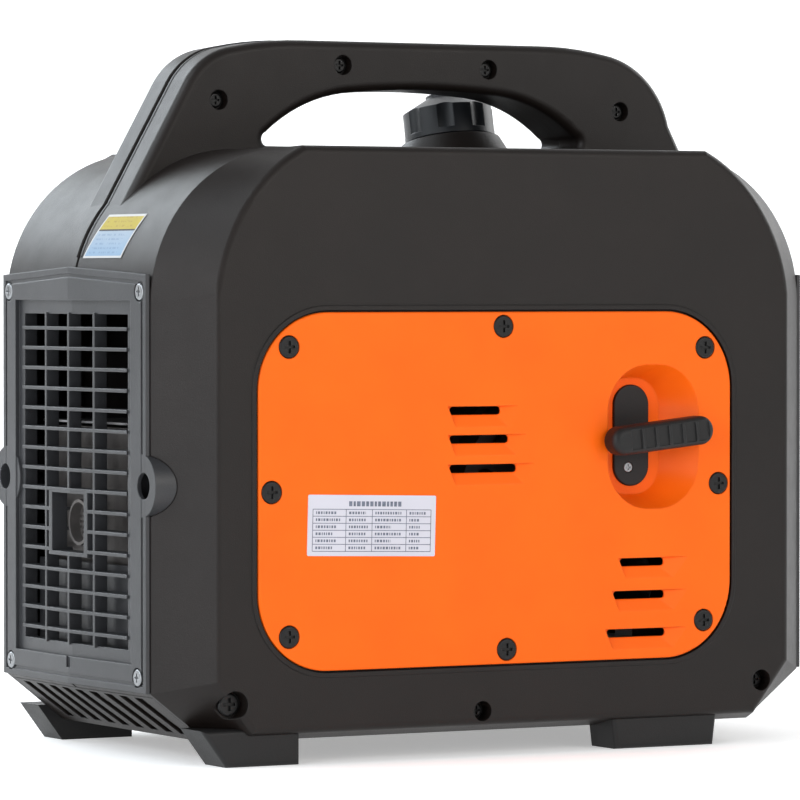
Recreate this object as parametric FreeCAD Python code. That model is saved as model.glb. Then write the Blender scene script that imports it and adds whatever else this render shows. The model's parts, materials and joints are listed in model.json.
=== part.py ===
import FreeCAD, Part
import math
import os

# Portable inverter generator in a closed plastic case.
# Frame: origin on the floor under the middle of the case, +Z up, millimetres.
# -X is the exhaust end, +X the control panel end, -Y the side with the recoil starter.

V = FreeCAD.Vector
X_AXIS, Y_AXIS, Z_AXIS = V(1, 0, 0), V(0, 1, 0), V(0, 0, 1)

# ---- overall sizes ---------------------------------------------------------
LENGTH = 500.0            # over the end cover and the control panel rim
WIDTH = 286.0             # over the two side covers
DECK_Z = 394.0            # flat deck
HANDLE_TOP_Z = 466.5      # top of the carrying handle
BASE_Z = 14.0             # underside of the case, on its feet

# ---- case shells -----------------------------------------------------------
WALL = 3.0
END_PROUD = 3.0           # the end cover and the panel stand this far out of the shells
CROWN = 3.5               # the ends bulge this much towards the seam
BEAD = 0.8                # raised bead round the side covers
BEVEL_X, BEVEL_Y = 30.5, 34.2
CORNER_R = 100.0          # top corners, seen from the side
CHAMFER_X, CHAMFER_Z = 40.5, 32.0
FACE_FOOT_IN, FACE_FOOT_Z, FACE_CHAMFER_Z = 26.0, 21.0, 55.0
FACE_SHOULDER_Z = 300.0
FACE_TOP_X = 152.0
FACE_EDGE_R = 5.0
FACE_BULGE = 13.0
SEAM_GROOVE, SEAM_DEPTH = 2.8, 1.4
FIT = 0.2                 # face clearance between parts that bolt together

# ---- handle ----------------------------------------------------------------
HANDLE_HALF = 28.0
HANDLE_EDGE_R = 6.0
GRIP_HOLE_BOTTOM = 2.5    # above the deck
GRIP_HOLE_HALF = 120.5
GRIP_HOLE_RISE = 38.7
HANDLE_SCREW_R = 6.5

# ---- side covers -----------------------------------------------------------
COVER_LEFT, COVER_RIGHT = -185.0, 168.0
COVER_LOW, COVER_HIGH = 59.5, 288.0
COVER_R = 50.0
COVER_T = 4.0
COVER_GAP = 1.2           # shadow gap round the cover
BEAD_W = 3.0
LEDGE = 12.0              # width of the ledge that carries the cover
SCREW_HEAD_R = 7.2
SCREW_R = 2.2

# ---- end cover and panel ---------------------------------------------------
END_HALF_Y = 107.0
END_LOW, END_HIGH, END_PEAK = 46.7, 312.0, 5.0
END_RIM = 14.0            # from the edge of an end piece to what lies inside its rim
GRILLE_HALF_Y = 77.4
GRILLE_LOW, GRILLE_HIGH = 72.6, 286.5
GRILLE_ROWS = 16
RIB_T, RIB_DEPTH, BAR_T = 2.2, 15.0, 2.6
WINDOW_Y0, WINDOW_Y1 = -19.0, 29.5
WINDOW_Z0, WINDOW_Z1 = 131.7, 170.0
EAR_Z, EAR_Y, EAR_R = 178.0, 101.0, 20.0
EAR_DEPTH, EAR_SEAT = 16.0, 12.0
PANEL_DEPTH = 14.0        # the panel plate lies this far inside its rim

# ---- recoil starter and engine ---------------------------------------------
CRANK_X, CRANK_Z = 45.0, 165.0
SHAFT_R = 9.0
RUN = 0.05                # radial running clearance
ROPE_R = 2.3
WIND_R = 46.6             # radius of the rope on the pulley
PULLEY_R = 52.0
GUIDE_X, GUIDE_Z = 102.0, 206.0
POCKET_DEPTH = 20.0
GRIP_LEN, GRIP_H, GRIP_D = 78.0, 19.0, 17.0
GRIP_TILT = 6.0
ROTOR_R = 56.0
FAN_R = 62.0
SHROUD_R = 73.0
BORE_R = 21.0
CYL_Y = 15.0              # middle of the cylinder, along the crankshaft
MOUNT_SEAT_Z = 45.0
SUMP_Z = 70.0

# ---- fuel cap --------------------------------------------------------------
CAP_X, CAP_Y, CAP_Z = 71.0, 63.0, 404.0
CAP_R = 31.0
CAP_TILT = 12.0
CAP_LOBES = 8
NECK_R = 21.0

HALF_L = LENGTH / 2 - END_PROUD
SIDE_X = HALF_L - CROWN
FACE_Y = WIDTH / 2 - BEAD
BEVEL_START = FACE_Y - BEVEL_Y
COVER_BACK = WIDTH / 2 - COVER_T
FLOOR_Z = BASE_Z + WALL
EPS = 0.01


# ---- helpers ---------------------------------------------------------------
def box(x0, x1, y0, y1, z0, z1):
    return Part.makeBox(x1 - x0, y1 - y0, z1 - z0, V(x0, y0, z0))


def cyl(base, axis, radius, length):
    return Part.makeCylinder(radius, length, base, axis)


def tube(base, axis, outer, inner, length):
    return cyl(base, axis, outer, length).cut(cyl(base, axis, inner, length))


def fuse(first, *others):
    shape = first
    for other in others:
        shape = shape.fuse(other)
    return shape.removeSplitter()


def cut(first, *others):
    shape = first
    for other in others:
        shape = shape.cut(other)
    return shape


def polygon(points):
    return Part.Face(Part.makePolygon(points + [points[0]]))


def mirrored_y(shape):
    return shape.mirror(V(0, 0, 0), Y_AXIS)


def rounded_wire(x0, x1, z0, z1, radius, y):
    """Closed wire of a rounded rectangle in the plane Y = y."""
    turn = []
    corners = [(x1 - radius, z1 - radius, 0), (x0 + radius, z1 - radius, 90),
               (x0 + radius, z0 + radius, 180), (x1 - radius, z0 + radius, 270)]
    for cx, cz, start in corners:
        pts = []
        for step in (0, 45, 90):
            angle = math.radians(start + step)
            pts.append(V(cx + radius * math.cos(angle), y, cz + radius * math.sin(angle)))
        turn.append(pts)
    edges = []
    for index, pts in enumerate(turn):
        following = turn[(index + 1) % len(turn)]
        edges.append(Part.Arc(*pts).toShape())
        edges.append(Part.LineSegment(pts[2], following[0]).toShape())
    return Part.Wire(edges)


def rounded_plate(x0, x1, z0, z1, radius, y0, y1):
    face = Part.Face(rounded_wire(x0, x1, z0, z1, radius, y0))
    return face.extrude(V(0, y1 - y0, 0))


def edges_at(shape, axis, value, low=None):
    """Edges of a shape that lie in the plane axis = value, above low if it is given."""
    found = []
    for edge in shape.Edges:
        b = edge.BoundBox
        span = {"x": (b.XMin, b.XMax), "y": (b.YMin, b.YMax), "z": (b.ZMin, b.ZMax)}[axis]
        flat = abs(span[0] - value) < EPS and abs(span[1] - value) < EPS
        if flat and (low is None or b.ZMax > low):
            found.append(edge)
    return found


def save(name, shape):
    os.makedirs("parts", exist_ok=True)
    solids = shape.Solids
    if not solids or not shape.isValid():
        print("CHECK", name, "solids", len(solids), "valid", shape.isValid())
    result = solids[0] if len(solids) == 1 else Part.makeCompound(solids)
    result.exportStep("parts/" + name + ".step")
    print(name, len(solids), round(shape.Volume / 1000, 1))


# ---- case ------------------------------------------------------------------
def case_section(y, side_x, foot_x, low, chamfer_z, shoulder, top_x, bulge, inset):
    """Outline of the case in the plane Y = y, as eight edges; bulge is how far the top
    corner stands out of its chord."""
    side_x, low, top = side_x - inset, low + inset, DECK_Z - inset
    right = [V(foot_x, y, low), V(side_x, y, chamfer_z), V(side_x, y, shoulder), V(top_x, y, top)]
    chord = right[3].sub(right[2])
    normal = V(chord.z, 0, -chord.x).normalize()
    middle = right[2].add(right[3]).multiply(0.5).add(normal.multiply(bulge))
    left = [V(-p.x, y, p.z) for p in right]
    mirror_middle = V(-middle.x, y, middle.z)
    line = Part.LineSegment
    edges = [line(left[0], right[0]), line(right[0], right[1]), line(right[1], right[2]),
             Part.Arc(right[2], middle, right[3]), line(right[3], left[3]),
             Part.Arc(left[3], mirror_middle, left[2]), line(left[2], left[1]),
             line(left[1], left[0])]
    return Part.Wire([edge.toShape() for edge in edges])


def case_block(inset):
    """The solid inside the outline of the case, pulled in by inset."""
    round_bulge = (CORNER_R - inset) * (1 - math.sqrt(0.5))
    shoulder = DECK_Z - CORNER_R
    chamfer_z = BASE_Z + CHAMFER_Z
    ends = []
    for side_x in (HALF_L, SIDE_X):
        ends.append((side_x, SIDE_X - CHAMFER_X, BASE_Z, chamfer_z, shoulder,
                     SIDE_X - CORNER_R, round_bulge, inset))
    face_x = SIDE_X - BEVEL_X
    face = (face_x, face_x - FACE_FOOT_IN, FACE_FOOT_Z, FACE_CHAMFER_Z,
            FACE_SHOULDER_Z, FACE_TOP_X - inset, FACE_BULGE, inset)
    bevel = BEVEL_START - inset / 2
    wires = [case_section(-(FACE_Y - inset), *face), case_section(-bevel, *ends[1]),
             case_section(0, *ends[0]), case_section(bevel, *ends[1]),
             case_section(FACE_Y - inset, *face)]
    return Part.makeLoft(wires, True, True)


def handle_wire():
    z = HANDLE_TOP_Z
    right = [V(193, 0, z - 52.5), V(175.5, 0, z - 21.5), V(142, 0, z - 5),
             V(117, 0, z - 1.2), V(90, 0, z)]
    left = [V(-176.5, 0, z - 27.5), V(-162, 0, z - 12.5), V(-142, 0, z - 5),
            V(-117, 0, z - 1.2), V(-90, 0, z)]
    foot = V(224, 0, DECK_Z - 39)
    left_foot = V(-foot.x, 0, foot.z)
    line = Part.LineSegment
    edges = [line(left_foot, foot), line(foot, right[0]), Part.Arc(right[0], right[1], right[2]),
             Part.Arc(right[2], right[3], right[4]), line(right[4], left[4]),
             Part.Arc(left[4], left[3], left[2]), Part.Arc(left[2], left[1], left[0]),
             line(left[0], left_foot)]
    return Part.Wire([edge.toShape() for edge in edges])


def grip_hole_wire():
    low = DECK_Z + GRIP_HOLE_BOTTOM
    half = GRIP_HOLE_HALF
    top = low + GRIP_HOLE_RISE
    right = [V(half - 5, 0, low), V(half, 0, low + 4), V(half - 3, 0, low + 9),
             V(half - 27.5, 0, low + 25.5), V(half - 60.5, 0, low + 35.5)]
    m = [V(-p.x, 0, p.z) for p in right]
    edges = [Part.LineSegment(m[0], right[0]), Part.Arc(right[0], right[1], right[2]),
             Part.Arc(right[2], right[3], right[4]), Part.Arc(right[4], V(0, 0, top), m[4]),
             Part.Arc(m[4], m[3], m[2]), Part.Arc(m[2], m[1], m[0])]
    return Part.Wire([edge.toShape() for edge in edges])


def slab_of(wire, half):
    face = Part.Face(wire)
    face.translate(V(0, -half, 0))
    return face.extrude(V(0, 2 * half, 0))


def handle_block():
    block = slab_of(handle_wire(), HANDLE_HALF).cut(slab_of(grip_hole_wire(), HANDLE_HALF + 1))
    rims = []
    for y in (-HANDLE_HALF, HANDLE_HALF):
        rims += edges_at(block, "y", y, DECK_Z)
    return block.makeFillet(HANDLE_EDGE_R, rims)


def handle_cavity():
    outer = handle_wire().makeOffset2D(-WALL)
    hole = grip_hole_wire().makeOffset2D(WALL)
    half = HANDLE_HALF - WALL
    hollow = slab_of(outer, half).cut(slab_of(hole, half + 1))
    under_deck = box(-LENGTH, LENGTH, -WIDTH, WIDTH, 0, DECK_Z)
    return hollow.cut(under_deck)


HANDLE_SCREWS = [(-154, 426), (-62, 450.5), (49, 449.5), (152, 423)]
SHELL_SCREWS = [(-201, 40, 9.0), (-21, 29.5, 6.5), (193, 42, 7.0)]
COVER_SCREWS = [(-163, 266), (-6, 278.5), (148, 264), (-175.5, 174), (158.5, 174),
                (-163, 82), (-3.5, 69), (147, 83.5)]
SCREW_POCKET = 12.0


def cover_outline(grow, y0, y1):
    return rounded_plate(COVER_LEFT - grow, COVER_RIGHT + grow, COVER_LOW - grow,
                         COVER_HIGH + grow, COVER_R + grow, y0, y1)


def side_seat():
    """What the front shell gains and loses where its side cover sits."""
    face, back = -FACE_Y, -COVER_BACK
    floor = back + FIT
    bead = cover_outline(COVER_GAP + BEAD_W, -WIDTH / 2, face + 0.5)
    gain = [bead, cover_outline(LEDGE / 2, face + 0.5, floor + WALL)]
    loss = [cover_outline(COVER_GAP, -WIDTH / 2 - 1, floor),
            cover_outline(-LEDGE, -WIDTH / 2 - 1, floor + WALL + 1)]
    bosses, bores = [], []
    for x, z in COVER_SCREWS:
        bosses.append(cyl(V(x, floor, z), Y_AXIS, 6.0, 12.0))
        bores.append(cyl(V(x, floor - 1, z), Y_AXIS, SCREW_R, 12.0))
    return gain, loss, bosses, bores


def pan_zone(clearance):
    half = BEVEL_START - 4 + clearance
    return box(-LENGTH, LENGTH, -half, half, 0, END_LOW - 3 + clearance)


def shell_halves():
    outer = case_block(0)
    rims = edges_at(outer, "y", -FACE_Y) + edges_at(outer, "y", FACE_Y)
    outer = outer.makeFillet(FACE_EDGE_R, rims)
    cavity = case_block(WALL)
    gain, loss, bosses, bores = side_seat()
    shell = outer.cut(cavity)
    for piece in gain:
        shell = shell.fuse(piece).fuse(mirrored_y(piece))
    shell = shell.fuse(handle_block().cut(case_block(WALL / 2)))
    for piece in loss:
        shell = shell.cut(piece).cut(mirrored_y(piece))
    for piece in bosses:
        shell = shell.fuse(piece).fuse(mirrored_y(piece))
    shell = cut(shell, *bores)
    shell = cut(shell, *[mirrored_y(bore) for bore in bores])
    shell = shell.cut(handle_cavity())
    for x, z, radius in SHELL_SCREWS:
        cup = cyl(V(x, -FACE_Y - 1, z), Y_AXIS, radius + 2, SCREW_POCKET + 4).common(outer)
        pocket = cyl(V(x, -FACE_Y - 1, z), Y_AXIS, radius, SCREW_POCKET + 1)
        hole = cyl(V(x, -FACE_Y, z), Y_AXIS, SCREW_R, SCREW_POCKET + 10)
        for copy in (lambda s: s, mirrored_y):
            shell = shell.fuse(copy(cup)).cut(copy(pocket)).cut(copy(hole))
    for x, z in HANDLE_SCREWS:
        post = cyl(V(x, -HANDLE_HALF + 1, z), Y_AXIS, HANDLE_SCREW_R + 2, 2 * HANDLE_HALF - 2)
        recess = cyl(V(x, -HANDLE_HALF - 1, z), Y_AXIS, HANDLE_SCREW_R, 9.0)
        hole = cyl(V(x, -HANDLE_HALF, z), Y_AXIS, SCREW_R, HANDLE_HALF + 14)
        shell = shell.fuse(post).cut(recess).cut(hole)
    for sign in (-1, 1):
        ear = ear_block(sign, 1.5, 40).cut(case_block(WALL + 14))
        depth = HALF_L + END_PROUD + 1 - SIDE_X + EAR_DEPTH + FIT
        hole = cyl(V(-HALF_L, sign * (EAR_Y + 3), EAR_Z), X_AXIS, SCREW_R, 40)
        shell = shell.fuse(ear.common(outer)).cut(ear_block(sign, FIT, depth)).cut(hole)
    for boss, bore in end_cover_bosses():
        shell = shell.fuse(boss).cut(bore)
    for x0, x1, rim in ((-LENGTH, -150, END_RIM - 1), (150, LENGTH, END_RIM - 4)):
        shell = shell.cut(box(x0, x1, -END_HALF_Y + rim, END_HALF_Y - rim, END_LOW, END_HIGH - rim))
    shell = shell.cut(pan_zone(FIT))
    shell = shell.fuse(filler_collar()).cut(filler_bore())
    groove = box(-LENGTH, LENGTH, -SEAM_GROOVE / 2, SEAM_GROOVE / 2, 0, HANDLE_TOP_Z + 10)
    groove = groove.cut(slab_of(seam_outline(), SEAM_GROOVE))
    groove = groove.cut(slab_of(grip_hole_wire().makeOffset2D(2), SEAM_GROOVE))
    shell = shell.cut(groove)
    front = shell.common(box(-LENGTH, LENGTH, -WIDTH, 0, 0, HANDLE_TOP_Z + 10))
    rear = shell.common(box(-LENGTH, LENGTH, 0, WIDTH, 0, HANDLE_TOP_Z + 10))
    return front, rear


def seam_outline():
    body = Part.Face(case_section(0, HALF_L, SIDE_X - CHAMFER_X, BASE_Z, BASE_Z + CHAMFER_Z,
                                  DECK_Z - CORNER_R, SIDE_X - CORNER_R,
                                  CORNER_R * (1 - math.sqrt(0.5)), 0))
    whole = body.fuse(Part.Face(handle_wire())).removeSplitter()
    return whole.Faces[0].OuterWire.makeOffset2D(-SEAM_DEPTH)


# ---- fuel filler -----------------------------------------------------------
def cap_axis():
    tilt = math.radians(CAP_TILT)
    return V(0, math.sin(tilt), math.cos(tilt))


def on_cap_axis(height):
    return V(CAP_X, CAP_Y, CAP_Z).add(cap_axis().multiply(height))


def filler_collar():
    collar = Part.makeCone(CAP_R + 10, CAP_R + 3, 14, on_cap_axis(-15), cap_axis())
    return collar.cut(case_block(WALL))


def filler_bore():
    return cyl(on_cap_axis(-30), cap_axis(), NECK_R + 3.5, 40)


def tank_block():
    tank = box(-118, 150, -118, 122, 297, DECK_Z - 9)
    return tank.makeFillet(14, tank.Edges)


def fuel_tank():
    hollow = box(-115, 147, -115, 119, 300, DECK_Z - 12)
    tank = tank_block().cut(hollow.makeFillet(11, hollow.Edges))
    neck_hole = cyl(on_cap_axis(-60), cap_axis(), NECK_R + FIT, 60)
    tank = tank.cut(neck_hole)
    lug_y = FACE_Y - WALL - FIT
    for x in (-60, 90):
        tank = tank.fuse(box(x - 12, x + 12, 120, lug_y, 318, 324))
        tank = tank.fuse(box(x - 12, x + 12, -lug_y, -116, 318, 324))
    spout = cyl(V(HOSE_X, HOSE_Y, 288), Z_AXIS, 3.2, 12)
    drain = cyl(V(HOSE_X, HOSE_Y, 287), Z_AXIS, 1.8, 16)
    return tank.fuse(spout).cut(drain)


def filler_neck():
    inside = tube(on_cap_axis(-34), cap_axis(), NECK_R, NECK_R - 2.5, 33.5)
    flange = tube(on_cap_axis(-14), cap_axis(), NECK_R + 3, NECK_R - 2.5, 2.0)
    return fuse(inside, flange)


def fuel_cap():
    """Lobed cap with a sloping shoulder; its skirt clears the collar."""
    base, axis = on_cap_axis(0.3), cap_axis()
    body = cyl(base, axis, CAP_R, 20)
    body = body.fuse(Part.makeCone(CAP_R, 14, 9.5, on_cap_axis(20.3), axis))
    body = body.fuse(cyl(on_cap_axis(29.7), axis, 14, 2.2))
    sideways = V(1, 0, 0)
    for index in range(CAP_LOBES):
        turn = FreeCAD.Rotation(axis, 360.0 * index / CAP_LOBES + 12)
        centre = base.add(turn.multVec(sideways).multiply(CAP_R + 7.2))
        flute = cyl(centre.add(V(axis).multiply(4)), axis, 9.5, 30)
        body = body.cut(flute)
    socket = cyl(on_cap_axis(-1), axis, NECK_R + 1.2, 14)
    return body.cut(socket)


def fuel_cap_insert():
    axis = cap_axis()
    disc = cyl(on_cap_axis(8.5), axis, NECK_R - 0.6, 4.2)
    gasket = tube(on_cap_axis(-0.2), axis, NECK_R - 2.0, NECK_R - 5.0, 9)
    vent = cyl(on_cap_axis(2), axis, 6.0, 8)
    return fuse(disc.fuse(tube(on_cap_axis(-9), axis, NECK_R - 2.9, NECK_R - 5, 18)), vent)


# ---- side covers -----------------------------------------------------------
def cover_plate():
    plate = cover_outline(0, -WIDTH / 2, -COVER_BACK)
    plate = plate.makeFillet(1.4, edges_at(plate, "y", -WIDTH / 2))
    for x, z in COVER_SCREWS:
        plate = plate.cut(cyl(V(x, -WIDTH / 2 - 1, z), Y_AXIS, SCREW_HEAD_R + 0.3, 1 + 2.2))
        plate = plate.cut(cyl(V(x, -WIDTH / 2 - 1, z), Y_AXIS, SCREW_R + 0.2, 10))
    return plate


SLOT_H, SLOT_R = 5.6, 2.3
LOUVRE_DROP = 13.5
LOUVRE_DEPTH = COVER_T - 0.7
LOUVRES = [(-47.5, -7, 227, 13), (-47.5, -1, 208.5, 13), (-47.5, 5, 189.5, 13),
           (81, 117.5, 126, 18), (76, 118, 104.5, 17), (71, 118.5, 79.5, 16)]


def louvre_cut(x0, x1, top, facet):
    """One louvre: a through slot, with the face scooped down to it from below and beside.
    The scoop's deep outline is parallel to its outline at the face, so all its walls are flat."""
    front = -WIDTH / 2 - 0.05
    deep = front + LOUVRE_DEPTH
    left_lean, right_lean = 6.0 / LOUVRE_DROP, 0.65 * facet / LOUVRE_DROP

    def outline(left, right, depth, height):
        points = [V(left, depth, top), V(right, depth, top),
                  V(right - right_lean * height, depth, top - height),
                  V(left + left_lean * height, depth, top - height)]
        return Part.makePolygon(points + points[:1])

    scoop = Part.makeLoft([outline(x0, x1 + facet, front, LOUVRE_DROP),
                           outline(x0 + 0.5, x1, deep, SLOT_H)], True, True)
    slot = rounded_plate(x0 + 3, x1, top - SLOT_H, top - 0.3, SLOT_R, deep - 1.2, deep + COVER_T)
    return scoop.fuse(slot)


def pocket_loft(grow):
    """The scoop round the starter grip: steep on the left, sloping on the right."""
    front = -WIDTH / 2 - 0.1
    floor = -WIDTH / 2 + POCKET_DEPTH + grow
    left, right = GUIDE_X - 29, GUIDE_X + 41
    low, high = GUIDE_Z - 48, GUIDE_Z + 47
    outer = rounded_wire(left - grow, right + grow, low - grow, high + grow, 31 + grow, front)
    inner = rounded_wire(left + 7 - grow, right - 19 + grow, low + 9 - grow, high - 9 + grow,
                         19 + grow, floor)
    return Part.makeLoft([outer, inner], True, True)


def guide_plate(grow, y0, y1):
    return rounded_plate(GUIDE_X - 13.5 + grow, GUIDE_X + 13.5 - grow, GUIDE_Z - 33.5 + grow,
                         GUIDE_Z + 33.5 - grow, 13.4 - grow, y0, y1)


GUIDE_SCREW_X, GUIDE_SCREW_Z = GUIDE_X - 2.5, GUIDE_Z - 21
POCKET_FLOOR_Y = -WIDTH / 2 + POCKET_DEPTH
POCKET_T = 2.5


def front_side_cover():
    cover = cover_plate()
    skin = pocket_loft(POCKET_T)
    skin = skin.common(box(-LENGTH, LENGTH, -COVER_BACK - 1, 0, 0, DECK_Z))
    cover = cover.fuse(skin).cut(pocket_loft(0))
    for louvre in LOUVRES:
        cover = cover.cut(louvre_cut(*louvre))
    cover = cover.cut(guide_plate(3.0 - FIT, POCKET_FLOOR_Y - 1, POCKET_FLOOR_Y + 9))
    return cover


def rope_guide():
    flange = guide_plate(0, POCKET_FLOOR_Y - 2.0, POCKET_FLOOR_Y - EPS)
    flange = flange.makeFillet(1.2, edges_at(flange, "y", POCKET_FLOOR_Y - 2.0))
    plug = guide_plate(3.0, POCKET_FLOOR_Y - EPS, POCKET_FLOOR_Y + POCKET_T + 2)
    bore = cyl(V(GUIDE_X, POCKET_FLOOR_Y - 5, GUIDE_Z), Y_AXIS, ROPE_R + 0.7, 20)
    flare = Part.makeCone(ROPE_R + 3.5, ROPE_R + 0.7, 3, V(GUIDE_X, POCKET_FLOOR_Y - 2.1, GUIDE_Z), Y_AXIS)
    seat = cyl(V(GUIDE_SCREW_X, POCKET_FLOOR_Y - 3, GUIDE_SCREW_Z), Y_AXIS, 3.6, 2.2)
    hole = cyl(V(GUIDE_SCREW_X, POCKET_FLOOR_Y - 3, GUIDE_SCREW_Z), Y_AXIS, 1.6, 12)
    return cut(fuse(flange, plug), bore, flare, seat, hole)


def rope_guide_screw():
    seat = V(GUIDE_SCREW_X, POCKET_FLOOR_Y - 0.8, GUIDE_SCREW_Z)
    return pan_screw(seat, V(0, -1, 0), 3.4, 1.4, 5, 1.5)


def pan_screw(base, axis, head_r, head_h, length, stem_r=SCREW_R - 0.2):
    """Screw with a domed cross-recessed head; base is under the head, axis points out."""
    head = cyl(base, axis, head_r, head_h)
    rim = max(head.Edges, key=lambda e: e.CenterOfMass.sub(base).dot(axis))
    head = head.makeFillet(head_h * 0.55, [rim])
    across = V(axis.y, axis.z, axis.x)
    slots = []
    for turn in (0, 90):
        bar = Part.makeBox(head_r * 1.1, head_r * 0.26, head_h, V(-head_r * 0.55, -head_r * 0.13, 0))
        bar.Placement = FreeCAD.Placement(base.add(V(axis).multiply(head_h * 0.45)),
                                          FreeCAD.Rotation(Z_AXIS, axis).multiply(FreeCAD.Rotation(Z_AXIS, turn)))
        slots.append(bar)
    stem = cyl(base.sub(V(axis).multiply(length)), axis, stem_r, length)
    return cut(head.fuse(stem), *slots)


def cover_screws():
    screws = []
    for x, z in COVER_SCREWS:
        for side in (-1, 1):
            seat = V(x, side * (WIDTH / 2 - 2.2), z)
            screws.append(pan_screw(seat, V(0, side, 0), SCREW_HEAD_R, 2.7, 9))
    return Part.makeCompound(screws)


COCK_X, COCK_Z, COCK_R = 20.0, 236.0, 17.0
COCK_STEM_R, COCK_STEM = 6.0, 14.0


def rear_side_cover():
    cover = mirrored_y(cover_plate())
    for row in range(6):
        slot = mirrored_y(louvre_cut(-130, -70, 220 - 20 * row, 12))
        cover = cover.cut(slot)
    for row in range(4):
        cover = cover.cut(mirrored_y(louvre_cut(60, 118, 150 - 20 * row, 12)))
    sleeve = cyl(V(COCK_X, COVER_BACK - COCK_STEM, COCK_Z), Y_AXIS, COCK_STEM_R + 4, COCK_STEM + 1)
    bore = cyl(V(COCK_X, COVER_BACK - COCK_STEM - 1, COCK_Z), Y_AXIS, COCK_STEM_R + RUN, 40)
    return cover.fuse(sleeve).cut(bore)


def fuel_cock_knob():
    y = WIDTH / 2 + 0.3
    dial = cyl(V(COCK_X, y, COCK_Z), Y_AXIS, COCK_R, 4)
    bar = box(COCK_X - COCK_R + 1.5, COCK_X + COCK_R - 1.5, y + 3, y + 12, COCK_Z - 3.5, COCK_Z + 3.5)
    bar = bar.makeFillet(1.5, edges_at(bar, "y", y + 12))
    stem = cyl(V(COCK_X, COVER_BACK - COCK_STEM, COCK_Z), Y_AXIS, COCK_STEM_R, COCK_STEM + COVER_T + 1)
    return fuse(dial, bar, stem)


# ---- starter grip and rope -------------------------------------------------
GRIP_X, GRIP_Y = GUIDE_X + 4.5, -WIDTH / 2 - GRIP_D / 2 - 0.7
STEM_BACK_Y = POCKET_FLOOR_Y - 5


def starter_grip():
    half = GRIP_LEN / 2
    left, right = GRIP_X - half, GRIP_X + half
    bar = rounded_plate(left, right, GUIDE_Z - GRIP_H / 2, GUIDE_Z + GRIP_H / 2, GRIP_H / 2 - 0.1,
                        GRIP_Y - GRIP_D / 2, GRIP_Y + GRIP_D / 2)
    rims = edges_at(bar, "y", GRIP_Y - GRIP_D / 2) + edges_at(bar, "y", GRIP_Y + GRIP_D / 2)
    bar = bar.makeFillet(5.0, rims)
    for index in range(6):
        x = GRIP_X - 27 + 10.4 * index
        groove = box(x + 1.1, x + 9.3, GRIP_Y - GRIP_D, GRIP_Y - GRIP_D / 2 + 1.3, 0, DECK_Z)
        bar = bar.cut(groove.common(box(left, right, -WIDTH, 0, GUIDE_Z - 6.5, GUIDE_Z + 6.5)))
    stem = Part.makeCone(9.0, 5.5, STEM_BACK_Y - GRIP_Y, V(GUIDE_X, GRIP_Y, GUIDE_Z), Y_AXIS)
    grip = bar.fuse(stem)
    grip.rotate(V(GUIDE_X, 0, GUIDE_Z), Y_AXIS, -GRIP_TILT)
    return grip.cut(cyl(V(GUIDE_X, GRIP_Y, GUIDE_Z), Y_AXIS, ROPE_R, 40))


ROPE_TURN_R = 12.0
LEAD_Y = -100.5


def starter_rope_end():
    return cyl(V(GUIDE_X, GRIP_Y, GUIDE_Z), Y_AXIS, ROPE_R, LEAD_Y - ROPE_TURN_R - GRIP_Y)


def starter_rope_lead():
    """The run from the pulley to the guide, with the turn out of the pulley's plane."""
    corner = V(GUIDE_X, LEAD_Y, GUIDE_Z)
    to_axis = V(CRANK_X - GUIDE_X, 0, CRANK_Z - GUIDE_Z)
    spread = math.asin(WIND_R / to_axis.Length)
    along = FreeCAD.Rotation(Y_AXIS, math.degrees(spread)).multVec(to_axis).normalize()
    reach = math.sqrt(to_axis.Length ** 2 - WIND_R ** 2)
    clear = math.sqrt((WIND_R + 2 * ROPE_R + 1.0) ** 2 - WIND_R ** 2)
    start = corner.add(V(along).multiply(reach - clear))
    turn_in = corner.add(V(along).multiply(ROPE_TURN_R))
    turn_out = corner.add(V(0, -ROPE_TURN_R, 0))
    centre = turn_in.add(V(0, -ROPE_TURN_R, 0))
    to_corner = corner.sub(centre).normalize().multiply(ROPE_TURN_R)
    path = Part.Wire([Part.LineSegment(start, turn_in).toShape(),
                      Part.Arc(turn_in, centre.add(to_corner), turn_out).toShape()])
    ring = Part.Wire(Part.makeCircle(ROPE_R, start, turn_in.sub(start)))
    return path.makePipeShell([ring], True, False)


def recoil_housing():
    y_plate, y_rim = -117.0, -92.0
    centre = V(CRANK_X, y_plate, CRANK_Z)
    dish = cyl(centre, Y_AXIS, 68, y_rim - y_plate).cut(
        cyl(V(CRANK_X, y_plate + 2.5, CRANK_Z), Y_AXIS, 65.5, 40))
    flange = tube(V(CRANK_X, y_rim - 2.5, CRANK_Z), Y_AXIS, SHROUD_R, 66, 2.5)
    notch = box(CRANK_X + 40, CRANK_X + 75, LEAD_Y - 5, LEAD_Y + 5, CRANK_Z - 5, CRANK_Z + 70)
    post = cyl(V(CRANK_X, y_plate + 1, CRANK_Z), Y_AXIS, 8.0, 21.5)
    housing = dish.cut(notch).fuse(flange)
    guide_gap = cyl(V(GUIDE_X, -130, GUIDE_Z), Y_AXIS, 7.0, 40)
    slots = [cyl(V(CRANK_X + 52 * math.cos(a), y_plate - 1, CRANK_Z + 52 * math.sin(a)), Y_AXIS, 7, 5)
             for a in [math.radians(30 * k + 15) for k in range(12)]]
    return fuse(cut(housing, guide_gap, *slots), post)


def recoil_pulley():
    y0, y1 = -106.5, -95.0
    disc = cyl(V(CRANK_X, y0, CRANK_Z), Y_AXIS, PULLEY_R, y1 - y0)
    groove = tube(V(CRANK_X, LEAD_Y - 3.6, CRANK_Z), Y_AXIS, PULLEY_R + 1, WIND_R - ROPE_R - 0.3, 7.2)
    bore = cyl(V(CRANK_X, y0 - 1, CRANK_Z), Y_AXIS, 8.0 + RUN, 20)
    dogs = [cyl(V(CRANK_X + 18 * side, y1 - 0.5, CRANK_Z), Y_AXIS, 4.0, 2.0) for side in (-1, 1)]
    return fuse(cut(disc, groove, bore), *dogs)


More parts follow.
